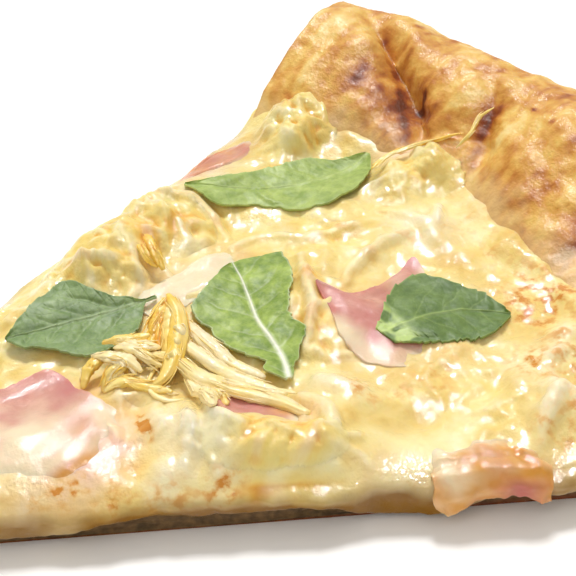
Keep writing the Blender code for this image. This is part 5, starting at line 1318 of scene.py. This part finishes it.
def leaf_finish(name, colours, cells_deep):
    """A rocket leaf: two greens in patches of 3 mm, pale veins, cells of 2.4 mm, and a dull waxy skin."""
    dark_green, mid_green, pale = colours
    made, tree, shader = new_material(
        name, Roughness=0.5, IOR=1.42, Specular_IOR_Level=0.3, Subsurface_Weight=0.15,
        Subsurface_Scale=0.0006, Subsurface_Radius=(0.8, 1.0, 0.2), Coat_Weight=0.08, Coat_Roughness=0.3)
    place_at = add_node(tree, "ShaderNodeTexCoord").outputs["Object"]
    vein = add_node(tree, FIELD, attribute_name="vein").outputs["Fac"]
    patch = add_node(tree, NOISE, {
        "Vector": place_at, "Scale": 300.0, "Detail": 8.0, "Roughness": 0.65}).outputs["Fac"]
    greens = add_node(tree, RAMP, {"Fac": patch}, stops=[(0.35, dark_green), (0.65, mid_green)]).outputs[0]
    veined = add_node(tree, MIX, {0: vein, 6: greens, 7: linear(pale)}, data_type="RGBA").outputs[2]
    tree.links.new(veined, shader.inputs["Base Color"])
    cells = add_node(
        tree, "ShaderNodeTexVoronoi", {"Vector": place_at, "Scale": 420.0}, feature="DISTANCE_TO_EDGE")
    swell = add_node(tree, MATH, {0: cells.outputs["Distance"], 1: 0.4}, operation="POWER").outputs[0]
    wide = add_node(tree, BUMP, {
        "Height": swell, "Strength": cells_deep, "Distance": 0.0008}).outputs["Normal"]
    grain = add_node(tree, NOISE, {"Vector": place_at, "Scale": 1600.0, "Detail": 3.0}).outputs["Fac"]
    bump = add_node(tree, BUMP, {"Height": grain, "Strength": 0.3, "Distance": 0.0003, "Normal": wide})
    tree.links.new(bump.outputs["Normal"], shader.inputs["Normal"])
    return made


def relaxed(heights, passes):
    """Heights smoothed this many times: each becomes the mean of its four neighbours."""
    for _ in range(passes):
        wide = np.pad(heights, 1, mode="edge")
        heights = 0.25 * (wide[:-2, 1:-1] + wide[2:, 1:-1] + wide[1:-1, :-2] + wide[1:-1, 2:])
    return heights


soft_ground = blurred(ground, 2.8)
for number, (name, spec) in enumerate(LEAVES.items()):
    rib_points, left_widths, right_widths, hang_at, gap, tooth, quilting, slot, colours = spec
    rib = curve_through(rib_points, LEAF_ALONG)
    ahead = np.gradient(rib, axis=0)
    ahead = ahead / np.linalg.norm(ahead, axis=1)[:, None]
    side = np.column_stack([-ahead[:, 1], ahead[:, 0]])
    share = np.linspace(0, 1, LEAF_ALONG)
    stations = np.linspace(0, 30, len(left_widths))
    smooth_left = curve_through(list(zip(stations, left_widths)), 400)
    smooth_right = curve_through(list(zip(stations, right_widths)), 400)
    length = np.linalg.norm(np.diff(rib, axis=0), axis=1).sum()
    inner = soft_step(share / 0.1) * soft_step((1 - share) / 0.06)
    run = share * length
    serrate = tooth * 1.3 * ((run / 2.3 + 0.3 * np.sin(run)) % 1.0 - 0.5) * inner
    nibble = 0.3 * hills(run, 0 * run, 2.0, 160 + number, 3) * inner
    left = np.interp(share * 30, smooth_left[:, 0], smooth_left[:, 1]) + serrate + nibble
    left = np.maximum(left, 0.25)
    right = np.interp(share * 30, smooth_right[:, 0], smooth_right[:, 1]) + serrate[::-1] - nibble
    right = np.maximum(right, 0.25)
    over = np.linspace(-1, 1, LEAF_ACROSS)
    reach = np.where(over[None] > 0, left[:, None], right[:, None]) * over[None]
    drawn = rib[:, None] + side[:, None] * reach[..., None]
    waves = 0.5 * hills(drawn[..., 0], drawn[..., 1], 11.0, 165 + number, 2) + 0.6 * np.abs(over)[None]**1.5
    lie = np.full(reach.shape, hang_at)
    for _ in range(4):
        flat = drawn + SIGHT_SHIFT * (hang_at - lie)[..., None]
        lie = read_net(soft_ground, flat[..., 0], flat[..., 1]) + gap + waves
        lie = relaxed(lie, 12)
    lie = np.maximum(lie, read_net(ground, flat[..., 0], flat[..., 1]) + 0.12)
    lie = relaxed(lie, 6)
    flat = drawn + SIGHT_SHIFT * (hang_at - lie)[..., None]
    # Side veins leave the midrib at uneven steps and bend to the tip; the blade swells between them.
    out_from_rib = np.abs(reach)
    warp = 0.9 * hills(flat[..., 0], flat[..., 1], 6.0, 172 + number, 3)
    branch = run[:, None] - out_from_rib * 0.7 - 0.03 * out_from_rib**2 + warp + 1.5 * (over[None] > 0)
    branch = (branch / VEIN_STEP) % 1.0
    fading = soft_step((0.95 - np.abs(over)[None]) / 0.4)
    side_vein = np.exp(-((branch - 0.5) * VEIN_STEP / 0.2)**2) * fading
    rib_width = 0.42 * (1.3 - share[:, None])
    mid_vein = np.exp(-(out_from_rib / rib_width)**2)
    groove = np.exp(-((branch - 0.5) * VEIN_STEP / 0.8)**2) * fading
    quilt = quilting * (0.8 - 1.6 * groove) * soft_step(out_from_rib / 2.0) * fading
    quilt = quilt + 0.12 * hills(flat[..., 0], flat[..., 1], 2.2, 170 + number, 2)
    blade = lie + 0.3 + quilt - 0.25 * np.exp(-(out_from_rib / 0.9)**2) + 0.3 * mid_vein
    upper = np.concatenate([flat, blade[..., None]], axis=-1)
    lower = upper - np.array([0.0, 0.0, LEAF_THICKNESS])
    rows, columns = blade.shape
    half = rows * columns
    index = np.arange(half).reshape(rows, columns)
    border = np.concatenate([index[0], index[1:, -1], index[-1, -2::-1], index[-2:0:-1, 0]])
    sides = np.stack([border, np.roll(border, -1), np.roll(border, -1) + half, border + half], axis=1)
    faces = grid_faces(rows, columns)
    midrib_shows = {"leaf_middle": 1.0, "leaf_rim_side": 0.35}.get(name, 0.3)
    vein = np.clip(mid_vein * midrib_shows + side_vein * 0.16 + 0.25 * (np.abs(over)[None] > 0.97), 0, 1)
    if name == "leaf_rim_side":
        spots = soft_step(hills(flat[..., 0], flat[..., 1], 2.4, 181, 2) * 2.0 + 0.3)
        spots = spots * soft_step((0.24 - share[:, None]) / 0.1)
        vein = np.clip(vein + 0.9 * spots, 0, 1)
    leaf = make_piece(name + "_blade", np.vstack([upper.reshape(-1, 3), lower.reshape(-1, 3)]),
                      [faces, faces[:, ::-1] + half, sides], {"vein": np.tile(vein.ravel(), 2)}, [name])
    cells_deep = 0.3 if name == "leaf_tip_side" else 0.12
    leaf.data.materials.append(leaf_finish("rocket_" + slot, colours, cells_deep))

# The stage
# A white table and soft, slightly warm light from above and behind, with a weaker light from the tip's side.
# Three small lamps give nothing but shine, so that the wet cheese glints.

floor_mesh = bpy.data.meshes.new("table")
floor_corners = [(-3, -3, -0.0002), (3, -3, -0.0002), (3, 3, -0.0002), (-3, 3, -0.0002)]
floor_mesh.from_pydata(floor_corners, [], [(0, 1, 2, 3)])
table = bpy.data.objects.new("table", floor_mesh)
bpy.context.scene.collection.objects.link(table)
table_finish, tree, shader = new_material("white_table", Roughness=0.8)
shader.inputs["Base Color"].default_value = linear("#FFFFFF")
table.data.materials.append(table_finish)

world = bpy.data.worlds.new("studio")
bpy.context.scene.world = world
world.use_nodes = True
world.node_tree.nodes["Background"].inputs["Color"].default_value = linear("#FFF7EA")
world.node_tree.nodes["Background"].inputs["Strength"].default_value = 0.50

# Each lamp: its name, where it shines from, how many degrees wide it looks, and its strength.
LAMPS = [
    ("key", (0.38, 0.64, 1.0), 14.0, 2.25), ("glint", (0.30, 0.70, 1.0), 5.5, 2.1),
    ("glint_above", (0.2, -0.18, 1.0), 5.5, 1.8), ("glint_between", (0.22, 0.26, 1.0), 5.5, 1.4),
    ("fill", (-0.9, -0.5, 1.0), 50.0, 0.5)]
for name, place, spread, power in LAMPS:
    data = bpy.data.lights.new(name, "SUN")
    data.angle = math.radians(spread)
    data.energy = power
    lamp = bpy.data.objects.new(name, data)
    lamp.visible_glossy = "glint" in name
    lamp.visible_diffuse = "glint" not in name
    lamp.location = place
    lamp.rotation_euler = (-Vector(place)).to_track_quat("-Z", "Y").to_euler()
    bpy.context.scene.collection.objects.link(lamp)

# The camera looks down on the near side from the tip's end, close, so that the slice runs out of the picture.
CAMERA_AT = (-94.34, -170.35, 157.16)
CAMERA_AIM = (17.96, 14.93, 0.0)
camera = bpy.data.objects.new("camera", bpy.data.cameras.new("camera"))
camera.data.lens = 87.5
camera.data.sensor_width = 36.0
camera.data.clip_start = 0.01
camera.location = Vector(CAMERA_AT) * MM
camera.rotation_euler = (Vector(CAMERA_AIM) - Vector(CAMERA_AT)).to_track_quat("-Z", "Y").to_euler()
bpy.context.scene.collection.objects.link(camera)
bpy.context.scene.camera = camera
bpy.context.scene.view_settings.view_transform = "Standard"
